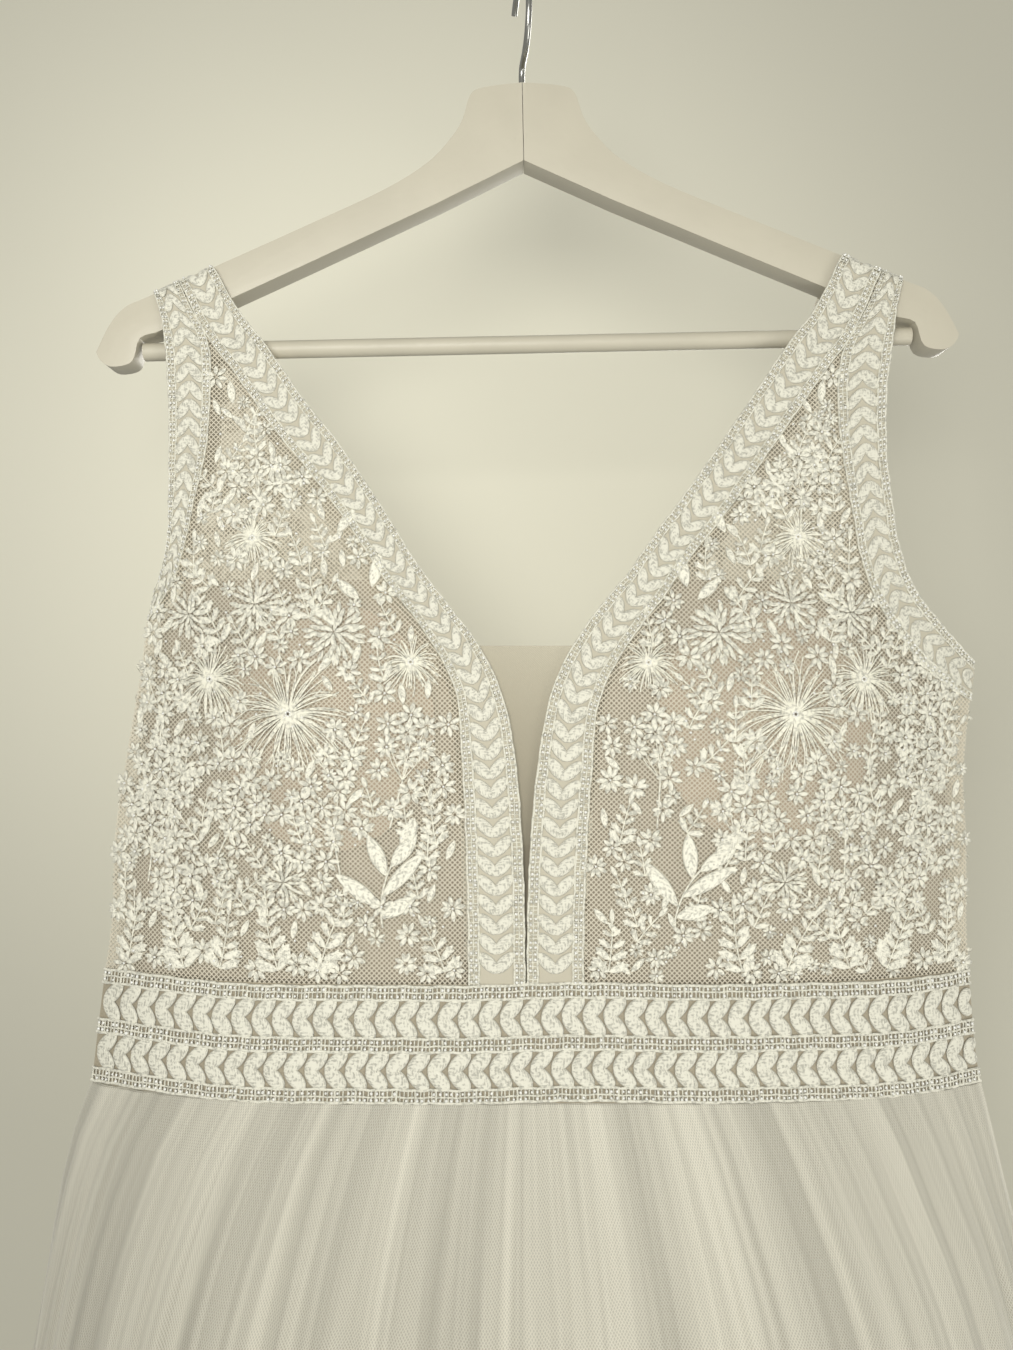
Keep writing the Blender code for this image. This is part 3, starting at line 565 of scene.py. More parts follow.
# Neck trim: x and z of the edge at the V, x and z of the edge on the net, the first row at the shoulder
NECK = {
    "left": [(-155, None, -171.5, None), (-141, -164.5, -157, -177), (-126, -184, -141.5, -198),
             (-105, -214, -121, -227), (-89, -234, -104.5, -247), (-68.5, -264, -84, -274),
             (-50.5, -293, -65.5, -302), (-36, -312.5, -50.5, -321), (-21.5, -331.5, -37, -342),
             (-11.5, -350, -30.5, -358), (-5.5, -369, -29, -373.5), (-2.5, -387.5, -28, -390),
             (-0.5, -406.5, -27, -407.5), (1.2, -435, -26, -435), (2.0, -462, -25.3, -462),
             (2.3, WAIST_TOP, -25, WAIST_TOP)],
    "right": [(162.5, None, 182, None), (147, -164.5, 165.5, -177.5), (132.5, -184, 151, -197.5),
              (112, -214, 131, -226), (98, -234.5, 116, -247), (82, -257, 99.5, -270),
              (66, -278.5, 82.5, -291), (52, -298.5, 69, -310.5), (39, -314, 56, -327),
              (26.5, -331.5, 44.5, -344.5), (16.8, -350, 38, -359.5), (11.5, -369, 35.5, -372.5),
              (8.5, -387.5, 34.5, -390), (6.2, -406.5, 33, -407.5), (4.2, -435, 31.5, -435),
              (3.2, -462, 30.5, -462), (2.9, WAIST_TOP, 30, WAIST_TOP)],
}
# Armhole trim: x and z of the edge at the arm, x and z of the edge on the net, ending at the side seam
ARM = {
    "left": [(-184, None, -172, None), (-179, -166, -163, -166), (-176, -184, -153.8, -185),
             (-174, -214, -153, -214), (-173.8, -238, -155, -239), (-174, -262, -160.5, -262),
             (-174.8, -280, -165.5, -284), (-177.8, -294, -173, -304), (-182.2, -306, -186.2, -322)],
    "right": [(191.5, None, 182.5, None), (187, -165, 171.5, -166.5), (184.5, -184, 159.8, -187),
              (181.5, -204, 156.5, -207), (180.5, -224, 157, -229), (180.7, -244, 159.5, -249),
              (183, -264, 162.5, -269), (185.6, -283, 165.7, -290.6), (192, -302, 173, -312),
              (201.7, -316, 184, -329), (214, -329, 201, -347), (226.8, -341, 225.4, -361)],
}
BACK_V_WIDER = 13.0
BACK_V_TOP = -150.0
BACK_V_HEIGHT = 300.0
OUTWARD = {"left": -1, "right": 1}


def trim_rows(table, side, face):
    """Both edges of a trim as close rows on smooth curves, the back's V standing wider."""
    whole = [(edge_x, crest(edge_x) if edge_z is None else edge_z,
              net_x, crest(net_x) if net_z is None else net_z) for edge_x, edge_z, net_x, net_z in table[side]]
    rows = smooth_curve(whole, 10)
    if face > 0 and table is NECK:
        share = np.clip((BACK_V_TOP - rows[:, 1]) / BACK_V_HEIGHT, 0.0, 1.0)
        wider = BACK_V_WIDER * np.sin(math.pi * share) * OUTWARD[side]
        rows[:, 0] += wider
        rows[:, 2] += wider
    return rows


def panel_edges(side, face, on_net):
    """x and z down the inner and the outer edge of a bodice half, or of the net inside its trims."""
    first = 2 if on_net else 0
    neck = trim_rows(NECK, side, face)[:, first:first + 2]
    arm = trim_rows(ARM, side, face)[:, first:first + 2]
    below = np.linspace(arm[-1, 1] - 4.0, WAIST_TOP, 40)
    side_x = at(SMOOTH_SIDES, below, 1 if side == "left" else 2)
    arm = np.vstack([arm, np.stack([side_x, below], axis=-1)])
    return neck, arm


def panel_cut(side, face, on_net=False, top=None, inset=0.0):
    """A function that takes points of a unit grid to the flat cut of a bodice half."""
    inner, outer = panel_edges(side, face, on_net)

    def cut(points):
        across, down = points[:, 0] + 0.5, 0.5 - points[:, 2]
        ends = []
        for edge, tuck in ((inner, inset), (outer, -inset)):
            start = edge[0, 1] if top is None else min(top, edge[0, 1])
            z = start + (WAIST_TOP - start) * down
            ends.append((np.interp(-z, -edge[:, 1], edge[:, 0]) + tuck * OUTWARD[side], z))
        x = ends[0][0] + (ends[1][0] - ends[0][0]) * across
        z = ends[0][1] + (ends[1][1] - ends[0][1]) * across
        return np.stack([x, points[:, 1], z], axis=-1)
    return cut


def unit_grid(columns, rows):
    """A flat grid one unit wide and tall, standing in x and z."""
    bm = bmesh.new()
    bmesh.ops.create_grid(bm, x_segments=columns, y_segments=rows, size=0.5,
                          matrix=Matrix.Rotation(math.radians(90), 4, "X"))
    return bm


def declare_cut(piece):
    """Reads a piece's own flat map; nothing is done with what it reads."""
    mesh = piece.data
    flat = np.zeros(len(mesh.loops) * 2)
    mesh.uv_layers["cut"].data.foreach_get("uv", flat)
    flat = flat.reshape(-1, 2)


def bodice_panel(name, columns, rows, cut, face, lift, material, nodes):
    """A thin sheet of one half of the bodice, cut flat and hung."""
    bm = unit_grid(columns, rows)

    def hang(points):
        flat = cut(points)
        flat[:, 1] = lift
        return hang_on(face)(flat)
    return finish_piece(name, bm, [material], nodes, hang, lambda points: cut(points)[:, [0, 2]])


LINING_MESH = woven("lining_mesh", LINING_COLOUR, 0.85, 4200.0, 0.2, alpha=0.93)

for side in ("left", "right"):
    piece = bodice_panel(f"mesh_lining_{side}", 30, 40, panel_cut(side, -1, True, LINING_TOP, 2.0), -1,
                         LINING_LIFT, LINING_MESH, [f"front_lining_{side}"])
    declare_cut(piece)


# Mesh in the V
# A piece of fine nude mesh, straight along its top, sewn in behind both neck trims.
INSERT_TOP = -333.5
INSERT_BOTTOM = -468.0
INSERT_TUCK = 7.0
INSERT_LIFT = -1.4
INSERT_COLOUR = (0.46, 0.41, 0.30)

v_left, v_right = (trim_rows(NECK, side, -1) for side in ("left", "right"))


def insert_cut(points):
    """The mesh's flat shape between the two edges of the V."""
    z = INSERT_TOP + (INSERT_BOTTOM - INSERT_TOP) * (0.5 - points[:, 2])
    start = np.interp(-z, -v_left[:, 1], v_left[:, 0]) - INSERT_TUCK
    end = np.interp(-z, -v_right[:, 1], v_right[:, 0]) + INSERT_TUCK
    x = start + (end - start) * (points[:, 0] + 0.5)
    return np.stack([x, points[:, 1] + INSERT_LIFT, z], axis=-1)


def insert_mesh():
    """Nude mesh, darker and less see-through further down the V: painted shade for the narrowing V."""
    material, tree, shader = finish_material("insert_mesh", INSERT_COLOUR, 0.85, sheen=0.2)
    weave = node(tree, "ShaderNodeGroup", node_tree=WEAVE)
    tree.links.new(new_uv_node(tree, "cut").outputs["UV"], weave.inputs["Cut"])
    weave.inputs["Threads"].default_value = 5600.0
    raise_by(tree, shader, weave.outputs["Height"], 0.0001, 0.6)
    # Painted shade: the colour darkens and the alpha rises down the V by height alone.
    place = node(tree, "ShaderNodeTexCoord")
    parts = node(tree, "ShaderNodeSeparateXYZ", [(0, place.outputs["Object"])])
    down = node(tree, "ShaderNodeMapRange", [("Value", parts.outputs["Z"])])
    down.inputs["From Min"].default_value = INSERT_TOP * MM
    down.inputs["From Max"].default_value = -0.44
    down.inputs["To Min"].default_value = 0.0
    down.inputs["To Max"].default_value = 1.0
    shade_by(tree, shader, down.outputs["Result"], tinted(INSERT_COLOUR, 0.94), tinted(INSERT_COLOUR, 0.46))
    dense = node(tree, "ShaderNodeMath", [(0, down.outputs["Result"])], operation="MULTIPLY_ADD", in1=0.45, in2=0.5)
    tree.links.new(dense.outputs[0], shader.inputs["Alpha"])
    return material


bm = unit_grid(24, 40)
INSERT_CLOTH = insert_mesh()
insert = finish_piece("v_mesh", bm, [INSERT_CLOTH], ["neck_insert"],
                      lambda points: hang_on(-1)(insert_cut(points)),
                      lambda points: insert_cut(points)[:, [0, 2]])
declare_cut(insert)


# Net panels
# Nude diamond net, the ground of the lace, in a left and a right half in front and behind. Each half
# runs on under its trims, from the V to the armhole and side seam, and over the shoulder.
NET_LIFT = 0.6
NET_COLOUR = (0.62, 0.572, 0.46)
NET_PITCH = 2.4
NET_THREAD = 0.29


def net_group():
    """Group: the threads of diamond net on the cut cloth, 1 on a thread and 0 in a hole."""
    group, given, result = new_group(
        "diamond_net", [("Cut", "NodeSocketVector", None), ("Pitch", "NodeSocketFloat", 0.002),
                        ("Thread", "NodeSocketFloat", 0.3)], ["Threads", "Height"])
    parts = node(group, "ShaderNodeSeparateXYZ", [(0, given.outputs["Cut"])])
    masks, heights = [], []
    for sign in ("ADD", "SUBTRACT"):
        slant = node(group, "ShaderNodeMath", [(0, parts.outputs["X"]), (1, parts.outputs["Y"])], operation=sign)
        share = node(group, "ShaderNodeMath", [(0, slant.outputs[0]), (1, given.outputs["Pitch"])],
                     operation="DIVIDE")
        wave = node(group, "ShaderNodeMath", [(0, share.outputs[0])], operation="PINGPONG", in1=0.5)
        thin = node(group, "ShaderNodeMath", [(0, given.outputs["Thread"])], operation="MULTIPLY", in1=0.5)
        masks.append(node(group, "ShaderNodeMath", [(0, wave.outputs[0]), (1, thin.outputs[0])],
                          operation="LESS_THAN"))
        heights.append(node(group, "ShaderNodeMath", [(1, wave.outputs[0])], operation="SUBTRACT", in0=0.5))
    both = node(group, "ShaderNodeMath", [(0, masks[0].outputs[0]), (1, masks[1].outputs[0])], operation="MAXIMUM")
    top = node(group, "ShaderNodeMath", [(0, heights[0].outputs[0]), (1, heights[1].outputs[0])],
               operation="MAXIMUM")
    group.links.new(both.outputs[0], result.inputs["Threads"])
    group.links.new(top.outputs[0], result.inputs["Height"])
    return group


NET = net_group()


def netting(name, colour, pitch, thread, hole_alpha, thread_alpha, sheen):
    """Net cloth whose holes let through what lies behind."""
    material, tree, shader = finish_material(name, colour, 0.8, sheen=sheen)
    net = node(tree, "ShaderNodeGroup", node_tree=NET)
    tree.links.new(new_uv_node(tree, "cut").outputs["UV"], net.inputs["Cut"])
    net.inputs["Pitch"].default_value = pitch * MM
    net.inputs["Thread"].default_value = thread
    uneven = mottled(tree, 25.0)
    shade_by(tree, shader, uneven.outputs["Slow"], tinted(colour, 0.92), tinted(colour, 1.06))
    solid = node(tree, "ShaderNodeMapRange", [("Value", net.outputs["Threads"])])
    solid.inputs["To Min"].default_value = hole_alpha
    solid.inputs["To Max"].default_value = thread_alpha
    tree.links.new(solid.outputs["Result"], shader.inputs["Alpha"])
    raise_by(tree, shader, net.outputs["Height"], 0.00015, 0.7)
    return material


NET_CLOTH = netting("diamond_net_cloth", NET_COLOUR, NET_PITCH, NET_THREAD, 0.12, 0.9, 0.2)

net_panels = {}
for side in ("left", "right"):
    for face, place in ((-1, "front"), (1, "back")):
        piece = bodice_panel(f"net_{place}_{side}", 44, 110, panel_cut(side, face), face, NET_LIFT,
                             NET_CLOTH, [f"{place}_net_{side}"])
        net_panels[side, face] = piece
        declare_cut(piece)


# Embroidery on the net
# Ivory cord and thread worked on the net by machine: small daisies, shaggy heads, thread bursts, sprays,
# leaf fans and stems, with a few clear beads. The motifs are ordinary ones in a layout of their own.
THREAD_COLOUR = (0.77, 0.755, 0.65)
BEAD_COLOUR = (0.86, 0.86, 0.82)
STITCH_LIFT = 0.7
CORD_LIFT = 1.0
STIPPLE = 600.0


def stitch_group():
    """Group: fine slanting stitches across a leaf or petal, on its own map, and its body inside its edge, outside which
    the thread takes painted shade.
    """
    group, given, result = new_group(
        "satin_stitch", [("Leaf", "NodeSocketVector", None), ("Rows", "NodeSocketFloat", 40.0)],
        ["Height", "Body"])
    parts = node(group, "ShaderNodeSeparateXYZ", [(0, given.outputs["Leaf"])])
    fold = node(group, "ShaderNodeMath", [(0, parts.outputs["X"])], operation="ABSOLUTE")
    slant = node(group, "ShaderNodeMath", [(0, fold.outputs[0]), (2, parts.outputs["Y"])],
                 operation="MULTIPLY_ADD", in1=0.35)
    row = node(group, "ShaderNodeMath", [(0, slant.outputs[0]), (1, given.outputs["Rows"])], operation="MULTIPLY")
    wave = node(group, "ShaderNodeMath", [(0, row.outputs[0])], operation="SINE")
    group.links.new(wave.outputs[0], result.inputs["Height"])
    body = node(group, "ShaderNodeMapRange", [("Value", fold.outputs[0])])
    body.inputs["From Min"].default_value = 1.0
    body.inputs["From Max"].default_value = 0.76
    group.links.new(body.outputs["Result"], result.inputs["Body"])
    return group


STITCHES = stitch_group()


def thread_material(name, colour, rows):
    """Matt ivory thread with a faint lustre, worked to and fro in short stitches with small gaps. The gaps and each
    leaf's edge are darker: partly the net showing there, partly painted shade between stitches and between overlapping
    leaves.
    """
    material, tree, shader = finish_material(name, colour, 0.7, sheen=0.2)
    stitches = node(tree, "ShaderNodeGroup", node_tree=STITCHES)
    tree.links.new(new_uv_node(tree, "leaf").outputs["UV"], stitches.inputs["Leaf"])
    stitches.inputs["Rows"].default_value = rows
    uneven = mottled(tree, STIPPLE / 7.0)
    worked = node(tree, "ShaderNodeMath", [(0, stitches.outputs["Height"]), (2, uneven.outputs["Fine"])],
                  operation="MULTIPLY_ADD", in1=0.07)
    gaps = node(tree, "ShaderNodeMapRange", [("Value", worked.outputs[0])])
    gaps.inputs["From Min"].default_value = 0.32
    gaps.inputs["From Max"].default_value = 0.52
    # Partly the net's colour, partly painted shade: darker in the stitch gaps and along each leaf's edge, for dark
    # lines between leaves.
    laid = node(tree, "ShaderNodeMath", [(0, gaps.outputs["Result"]), (1, stitches.outputs["Body"])],
                operation="MULTIPLY")
    shade_by(tree, shader, laid.outputs[0], tinted(colour, 0.66), tinted(colour, 1.05))
    raise_by(tree, shader, laid.outputs[0], 0.0003, 0.8)
    return material


def bead_material():
    """Clear glass beads, seen as small bright points."""
    material, tree, shader = finish_material("glass_bead", BEAD_COLOUR, 0.3, coat=0.4)
    uneven = mottled(tree, 400.0)
    shade_by(tree, shader, uneven.outputs["Slow"], tinted(BEAD_COLOUR, 0.8), BEAD_COLOUR)
    return material


THREAD = thread_material("ivory_thread", THREAD_COLOUR, 42.0)
TRIM_THREAD = thread_material("trim_thread", tinted(THREAD_COLOUR, 0.86), 42.0)
BEADS = bead_material()


def leaf_shape(name, columns, rows, heights, fullness):
    """A small raised leaf one unit long and wide, with heights from its middle to its edge."""
    bm = bmesh.new()
    bmesh.ops.create_grid(bm, x_segments=columns, y_segments=rows, size=0.5,
                          matrix=Matrix.Rotation(math.radians(90), 4, "X"))
    leaf_map = bm.loops.layers.uv.new("leaf")
    for face in bm.faces:
        for loop in face.loops:
            loop[leaf_map].uv = (loop.vert.co.x * 2, loop.vert.co.z + 0.5)
    for vertex in bm.verts:
        along = vertex.co.z + 0.5
        across = vertex.co.x * 2
        swell = max(math.sin(math.pi * along), 0.0)
        height = np.interp(abs(across), np.linspace(0, 1, len(heights)), heights)
        vertex.co = Vector((math.copysign(abs(across) ** 0.6, across) / 2 * swell ** fullness, height * min(swell * 1.6, 1.0), along))
    if bm.faces[:][0].normal.y < 0:
        bmesh.ops.reverse_faces(bm, faces=bm.faces)
    mesh = bpy.data.meshes.new(name)
    bm.to_mesh(mesh)
    bm.free()
    return mesh


def bead_shape():
    """A small round bead, coloured with the second material of its piece."""
    bm = bmesh.new()
    bm.loops.layers.uv.new("leaf")
    bmesh.ops.create_icosphere(bm, subdivisions=1, radius=1.0)
    for face in bm.faces:
        face.material_index = 1
    mesh = bpy.data.meshes.new("bead")
    bm.to_mesh(mesh)
    bm.free()
    return mesh


PETAL = leaf_shape("petal", 4, 5, (0.6, 1.0, 0.0), 0.6)
LEAF = leaf_shape("leaf", 6, 8, (0.25, 0.9, 1.0, 0.0), 0.75)
TUFT = leaf_shape("tuft", 2, 4, (1.0, 0.0), 0.8)
BEAD = bead_shape()


def stamp(bm, shape, x, z, degrees, length, width, height, lift=STITCH_LIFT):
    """Sets a shape down with its base at x and z, pointing the given degrees from straight up."""
    matrix = (Matrix.Translation((x, lift, z)) @ Matrix.Rotation(math.radians(degrees), 4, "Y")
              @ Matrix.Diagonal((width, height, length, 1.0)))
    shape.transform(matrix)
    bm.from_mesh(shape)
    shape.transform(matrix.inverted())


def bead(bm, x, z, radius, lift):
    """Sews on one bead."""
    stamp(bm, BEAD, x, z, 0.0, radius, radius, radius, lift)


def reach_to(x, z, degrees, distance):
    """A place at a distance from x and z."""
    angle = math.radians(degrees)
    return x + math.sin(angle) * distance, z + math.cos(angle) * distance


def daisy(bm, cords, x, z, size, turn, chance):
    """Seven to nine separate petals round a bead."""
    petals = chance.choice((7, 8, 8, 9))
    lift = STITCH_LIFT + chance.uniform(0.0, 0.35)
    for petal in range(petals):
        degrees = turn + 360.0 * petal / petals + chance.uniform(-8, 8)
        base = reach_to(x, z, degrees, size * 0.15)
        stamp(bm, PETAL, *base, degrees, size * chance.uniform(0.74, 0.92), size * 0.39, 0.6, lift)
    if chance.random() < 0.5:
        bead(bm, x, z, 0.7, lift + 0.7)


def shaggy_head(bm, cords, x, z, size, turn, chance):
    """A rounded head of many short petals in rings."""
    for ring, (reach, count) in enumerate(((0.62, 22), (0.4, 17), (0.18, 11), (0.02, 6))):
        for petal in range(count):
            degrees = turn + 360.0 * petal / count + chance.uniform(-9, 9)
            base = reach_to(x, z, degrees, size * reach)
            stamp(bm, TUFT, *base, degrees + chance.uniform(-8, 8), size * chance.uniform(0.36, 0.46),
                  size * 0.16, 0.8, STITCH_LIFT + 0.25 * ring)


def burst(bm, cords, x, z, size, turn, chance):
    """Loose threads that radiate from a knot, bend over and droop at their ends."""
    count = int(26 + size * 1.9)
    for thread in range(count):
        degrees = turn + 360.0 * thread / count + chance.uniform(-4, 4)
        length = size * chance.uniform(0.7, 1.0)
        bend = chance.uniform(-14, 14)
        path = []
        for step in range(6):
            share = step / 5
            px, pz = reach_to(x, z, degrees + bend * share ** 2, length * (0.05 + 0.95 * share))
            pz -= 0.3 * length * share ** 2.4 * abs(math.sin(math.radians(degrees)))
            path.append((px, STITCH_LIFT + 0.75 * math.sin(math.pi * min(share + 0.25, 1.0)), pz))
        cords[0.35].append(path)
    for knot in range(6):
        px, pz = reach_to(x, z, turn + 60.0 * knot, 1.1)
        bead(bm, px, pz, 0.6, STITCH_LIFT + 0.7)


def sprig(bm, cords, x, z, size, turn, chance):
    """A leafy spray: a stem with pairs of thready leaves that shorten to its tip."""
    pairs = max(round(size / 6.6), 3)
    bend = chance.uniform(-20, 20)
    path = []
    for step in range(pairs + 1):
        share = step / pairs
        degrees = turn + bend * share
        px, pz = reach_to(x, z, turn + bend * share / 2, size * share * 0.8)
        path.append((px, CORD_LIFT - 0.2, pz))
        if step == pairs:
            stamp(bm, PETAL, px, pz, degrees, size * 0.2 + 2.5, 2.6, 0.7)
            break
        length = (size * 0.24 + 3.4) * (1.0 - 0.5 * share) * chance.uniform(0.85, 1.1)
        for hand in (-1, 1):
            aim = degrees + hand * (52 + chance.uniform(-9, 9))
            stamp(bm, PETAL, px, pz, aim, length, length * 0.38, 0.7)
            for spread in (-30, 30):
                tip = reach_to(px, pz, aim, length * 0.45)
                stamp(bm, TUFT, *tip, aim + spread, length * 0.45, length * 0.17, 0.7)
    cords[0.4].append(path)


def leaf_fan(bm, cords, x, z, size, turn, chance):
    """A curved stem with broad long leaves that leave it in turn on both sides."""
    stem = [reach_to(x, z, turn + 3 * step, size * 0.11 * (step - 2)) for step in range(9)]
    cords[0.5].append([(px, CORD_LIFT - 0.1, pz) for px, pz in stem])
    for knot, spread, length in ((1, 63, 0.42), (2, -54, 0.6), (3, 38, 0.66), (5, -33, 0.5), (6, 27, 0.45),
                                 (8, 4, 0.36)):
        stamp(bm, LEAF, *stem[knot], turn + 3 * knot + spread + chance.uniform(-4, 4), size * length, size * 0.165,
              0.8, STITCH_LIFT + chance.uniform(0, 0.3))


def big_leaf(bm, cords, x, z, size, turn, chance):
    """One broad stitched leaf."""
    stamp(bm, LEAF, x, z, turn, size, size * 0.36, 0.8)


def umbel(bm, cords, x, z, size, turn, chance):
    """A round head of close daisies on fine stems that spread from one stalk."""
    foot = reach_to(x, z, turn + 180, size * 1.25)
    for reach, count in ((0.0, 1), (10.4, 6), (19.5, 11)):
        if reach > size + 2.0:
            continue
        for number in range(count):
            degrees = turn + 360.0 * number / count + chance.uniform(-8, 8)
            px, pz = reach_to(x, z, degrees, reach + chance.uniform(-0.9, 0.9))
            daisy(bm, cords, px, pz, chance.uniform(5.7, 6.6), chance.uniform(0, 45), chance)
            middle = ((foot[0] + px) / 2 + chance.uniform(-1.5, 1.5), (foot[1] + pz) / 2)
            cords[0.3].append([(foot[0], CORD_LIFT - 0.4, foot[1]), (middle[0], CORD_LIFT - 0.3, middle[1]),
                               (px, CORD_LIFT - 0.4, pz)])
    end = reach_to(*foot, turn + 190, size * 0.9 + 8)
    cords[0.5].append([(foot[0], CORD_LIFT - 0.1, foot[1]), (end[0], CORD_LIFT - 0.1, end[1])])


# Main motifs: kind, share of the way from the V's trim to the armhole or side, height, size, turn outward
FRONT_MOTIFS = [
    (big_leaf, 0.5, -214, 12, 8), (sprig, 0.4, -238, 17, 16), (umbel, 0.5, -251, 9, 0), (sprig, 0.86, -268, 16, -8),
    (big_leaf, 0.1, -279, 15, -30), (burst, 0.6, -281, 15, 0), (sprig, 0.9, -300, 22, 2), (big_leaf, 0.08, -306, 18, -12),
    (big_leaf, 0.16, -312, 15, 48), (sprig, 0.34, -312, 22, 24), (shaggy_head, 0.3, -328, 15, 0),
    (shaggy_head, 0.58, -314, 13, 0), (sprig, 0.7, -332, 28, 26), (shaggy_head, 0.84, -318, 12, 0),
    (burst, 0.1, -342, 15, 0), (umbel, 0.9, -356, 9, 0), (burst, 0.48, -366, 31, 0), (burst, 0.74, -350, 21, 6),
    (umbel, 0.15, -376, 17, -6), (umbel, 0.87, -394, 11, 14), (umbel, 0.38, -409, 12, 16), (umbel, 0.63, -411, 12, -14),
    (sprig, 0.08, -428, 24, 10), (leaf_fan, 0.23, -458, 45, 8), (sprig, 0.06, -489, 28, 14), (sprig, 0.39, -489, 36, -14),
    (sprig, 0.5, -489, 34, 20), (shaggy_head, 0.49, -446, 11, 0), (sprig, 0.66, -489, 32, -14),
    (umbel, 0.8, -452, 9, 6), (sprig, 0.76, -490, 38, 20), (sprig, 0.93, -490, 34, -4), (umbel, 0.88, -422, 9, 0),
]
BACK_MOTIFS = [
    (big_leaf, 0.4, -216, 12, 0), (umbel, 0.5, -246, 9, 0), (burst, 0.5, -280, 15, 0), (sprig, 0.2, -312, 24, 20),
    (shaggy_head, 0.68, -318, 14, 0), (umbel, 0.24, -352, 16, 4), (burst, 0.62, -362, 26, 0),
    (sprig, 0.9, -392, 34, 8), (umbel, 0.42, -414, 12, -8), (umbel, 0.78, -420, 11, 8), (leaf_fan, 0.24, -462, 40, 6),
    (sprig, 0.45, -489, 34, 10), (sprig, 0.64, -489, 36, -10), (sprig, 0.85, -489, 36, 6), (sprig, 0.08, -489, 30, 6),
]
# How far up its own length a motif's middle lies, and the room it takes, as shares of its size
MOTIF_ROOM = {daisy: (0.0, 0.9), umbel: (0.0, 1.12), burst: (0.0, 0.7), shaggy_head: (0.0, 0.95),
              sprig: (0.4, 0.3), leaf_fan: (0.45, 0.42), big_leaf: (0.5, 0.4)}
# Small motifs between the main ones: kind, size, how often
FILL = [(daisy, 6.2, 9), (big_leaf, 9.5, 2), (sprig, 18.0, 5), (daisy, 4.2, 2)]
FILL_OVERLAP = 0.8


def embroider(side, face, motifs, fill_tries, seed):
    """Works the motifs of one panel, then fills the net between them with small ones."""
    chance = random.Random(seed)
    inner, outer = panel_edges(side, face, True)
    bm = bmesh.new()
    bm.loops.layers.uv.new("leaf")
    cords = {0.3: [], 0.35: [], 0.4: [], 0.5: []}
    taken = []

    def spot(share, z):
        start = np.interp(-z, -inner[:, 1], inner[:, 0])
        end = np.interp(-z, -outer[:, 1], outer[:, 0])
        return start + (end - start) * share, abs(end - start)

    def place(kind, x, z, size, turn):
        up, room = MOTIF_ROOM[kind]
        kind(bm, cords, x, z, size, turn, chance)
        taken.append((*reach_to(x, z, turn, size * up), size * room))

    for kind, share, z, size, turn in motifs:
        place(kind, spot(share, z)[0], z, size, turn * OUTWARD[side] + chance.uniform(-6, 6))
    for _ in range(fill_tries):
        z = chance.uniform(-491.0, -200.0)
        share = chance.random()
        x, wide = spot(share, z)
        kind, size, _ = chance.choices(FILL, [often for _, _, often in FILL])[0]
        turn = chance.uniform(-50, 50)
        up, room = MOTIF_ROOM[kind]
        middle_x, middle_z = reach_to(x, z, turn, size * up)
        room *= size * FILL_OVERLAP
        if min(share * wide, (1.0 - share) * wide + size * 0.38) < size * 0.7 or math.sin(x * 0.083 + 1.0) * math.sin(z * 0.074) > 0.72:
            continue
        if any(math.hypot(middle_x - other_x, middle_z - other_z) < room + other * FILL_OVERLAP
               for other_x, other_z, other in taken):
            continue
        place(kind, x, z, size * chance.uniform(0.88, 1.1), turn)
    for _ in range(90):
        z = chance.uniform(-488.0, -215.0)
        bead(bm, spot(chance.uniform(0.06, 0.94), z)[0], z, 0.7, STITCH_LIFT + 0.5)
    for radius, paths in cords.items():
        couch(bm, paths, radius)
    where = "front" if face < 0 else "back"
    return finish_piece(f"embroidery_{where}_{side}", bm, [THREAD, BEADS],
                        [f"{where}_net_{side}"], hang_on(face))


for side in ("left", "right"):
    embroider(side, -1, FRONT_MOTIFS, 6000, 11)
    embroider(side, 1, BACK_MOTIFS, 900, 23)


# Neck and armhole trims
# Machine-made lace tape sewn along the V and the armholes: a column of paired, padded satin-stitch
# leaves between two borders of fine cord, cross stitches and seed beads.
TRIM_WIDTH = 27.0
LEAF_PITCH = 9.2
LEAF_LEAD = 6.5
TRIM_LIFT = 1.1
TRIM_LEAF = leaf_shape("trim_leaf", 6, 9, (0.8, 1.0, 0.92, 0.0), 0.48)
# A leaf's width, and how far it reaches along the trim
TRIM_LEAF_SIZE = (6.3, 8.3)
# Across the trim as shares of its width: each border's outer, middle and inner cord, and the leaves' edges
BORDERS = ((0.02, 0.105, 0.19), (0.98, 0.895, 0.81))
LEAF_ZONE = (0.2, 0.8)
# The close net of the tape itself, under the leaves and cords
TAPE_LIFT = 0.8
TAPE_COLOUR = (0.5, 0.468, 0.375)


class Tape:
    """A strip between two edges, read by the distance along its middle."""

    def __init__(self, rows):
        self.rows = np.array(rows, float)
        steps = np.diff(self.rows, axis=0)
        middle = (steps[:, :2] + steps[:, 2:]) / 2
        self.along = np.concatenate([[0.0], np.cumsum(np.linalg.norm(middle, axis=1))])
        self.length = self.along[-1]

    def lay(self, points):
        """Takes points along, off and across the strip to the flat cloth."""
        row = np.stack([np.interp(points[:, 0], self.along, self.rows[:, column]) for column in range(4)], axis=-1)
        share = points[:, 2] / TRIM_WIDTH
        x = row[:, 0] + (row[:, 2] - row[:, 0]) * share
        z = row[:, 1] + (row[:, 3] - row[:, 1]) * share
        return np.stack([x, points[:, 1], z], axis=-1)


def tape_cloth():
    """Fine close net in nude, plain beside the thread on it."""
    material, tree, shader = finish_material("tape_cloth", TAPE_COLOUR, 0.85, sheen=0.2)
    uneven = mottled(tree, 900.0)
    shade_by(tree, shader, uneven.outputs["Fine"], tinted(TAPE_COLOUR, 0.82), tinted(TAPE_COLOUR, 1.12))
    return material


TAPE_CLOTH = tape_cloth()


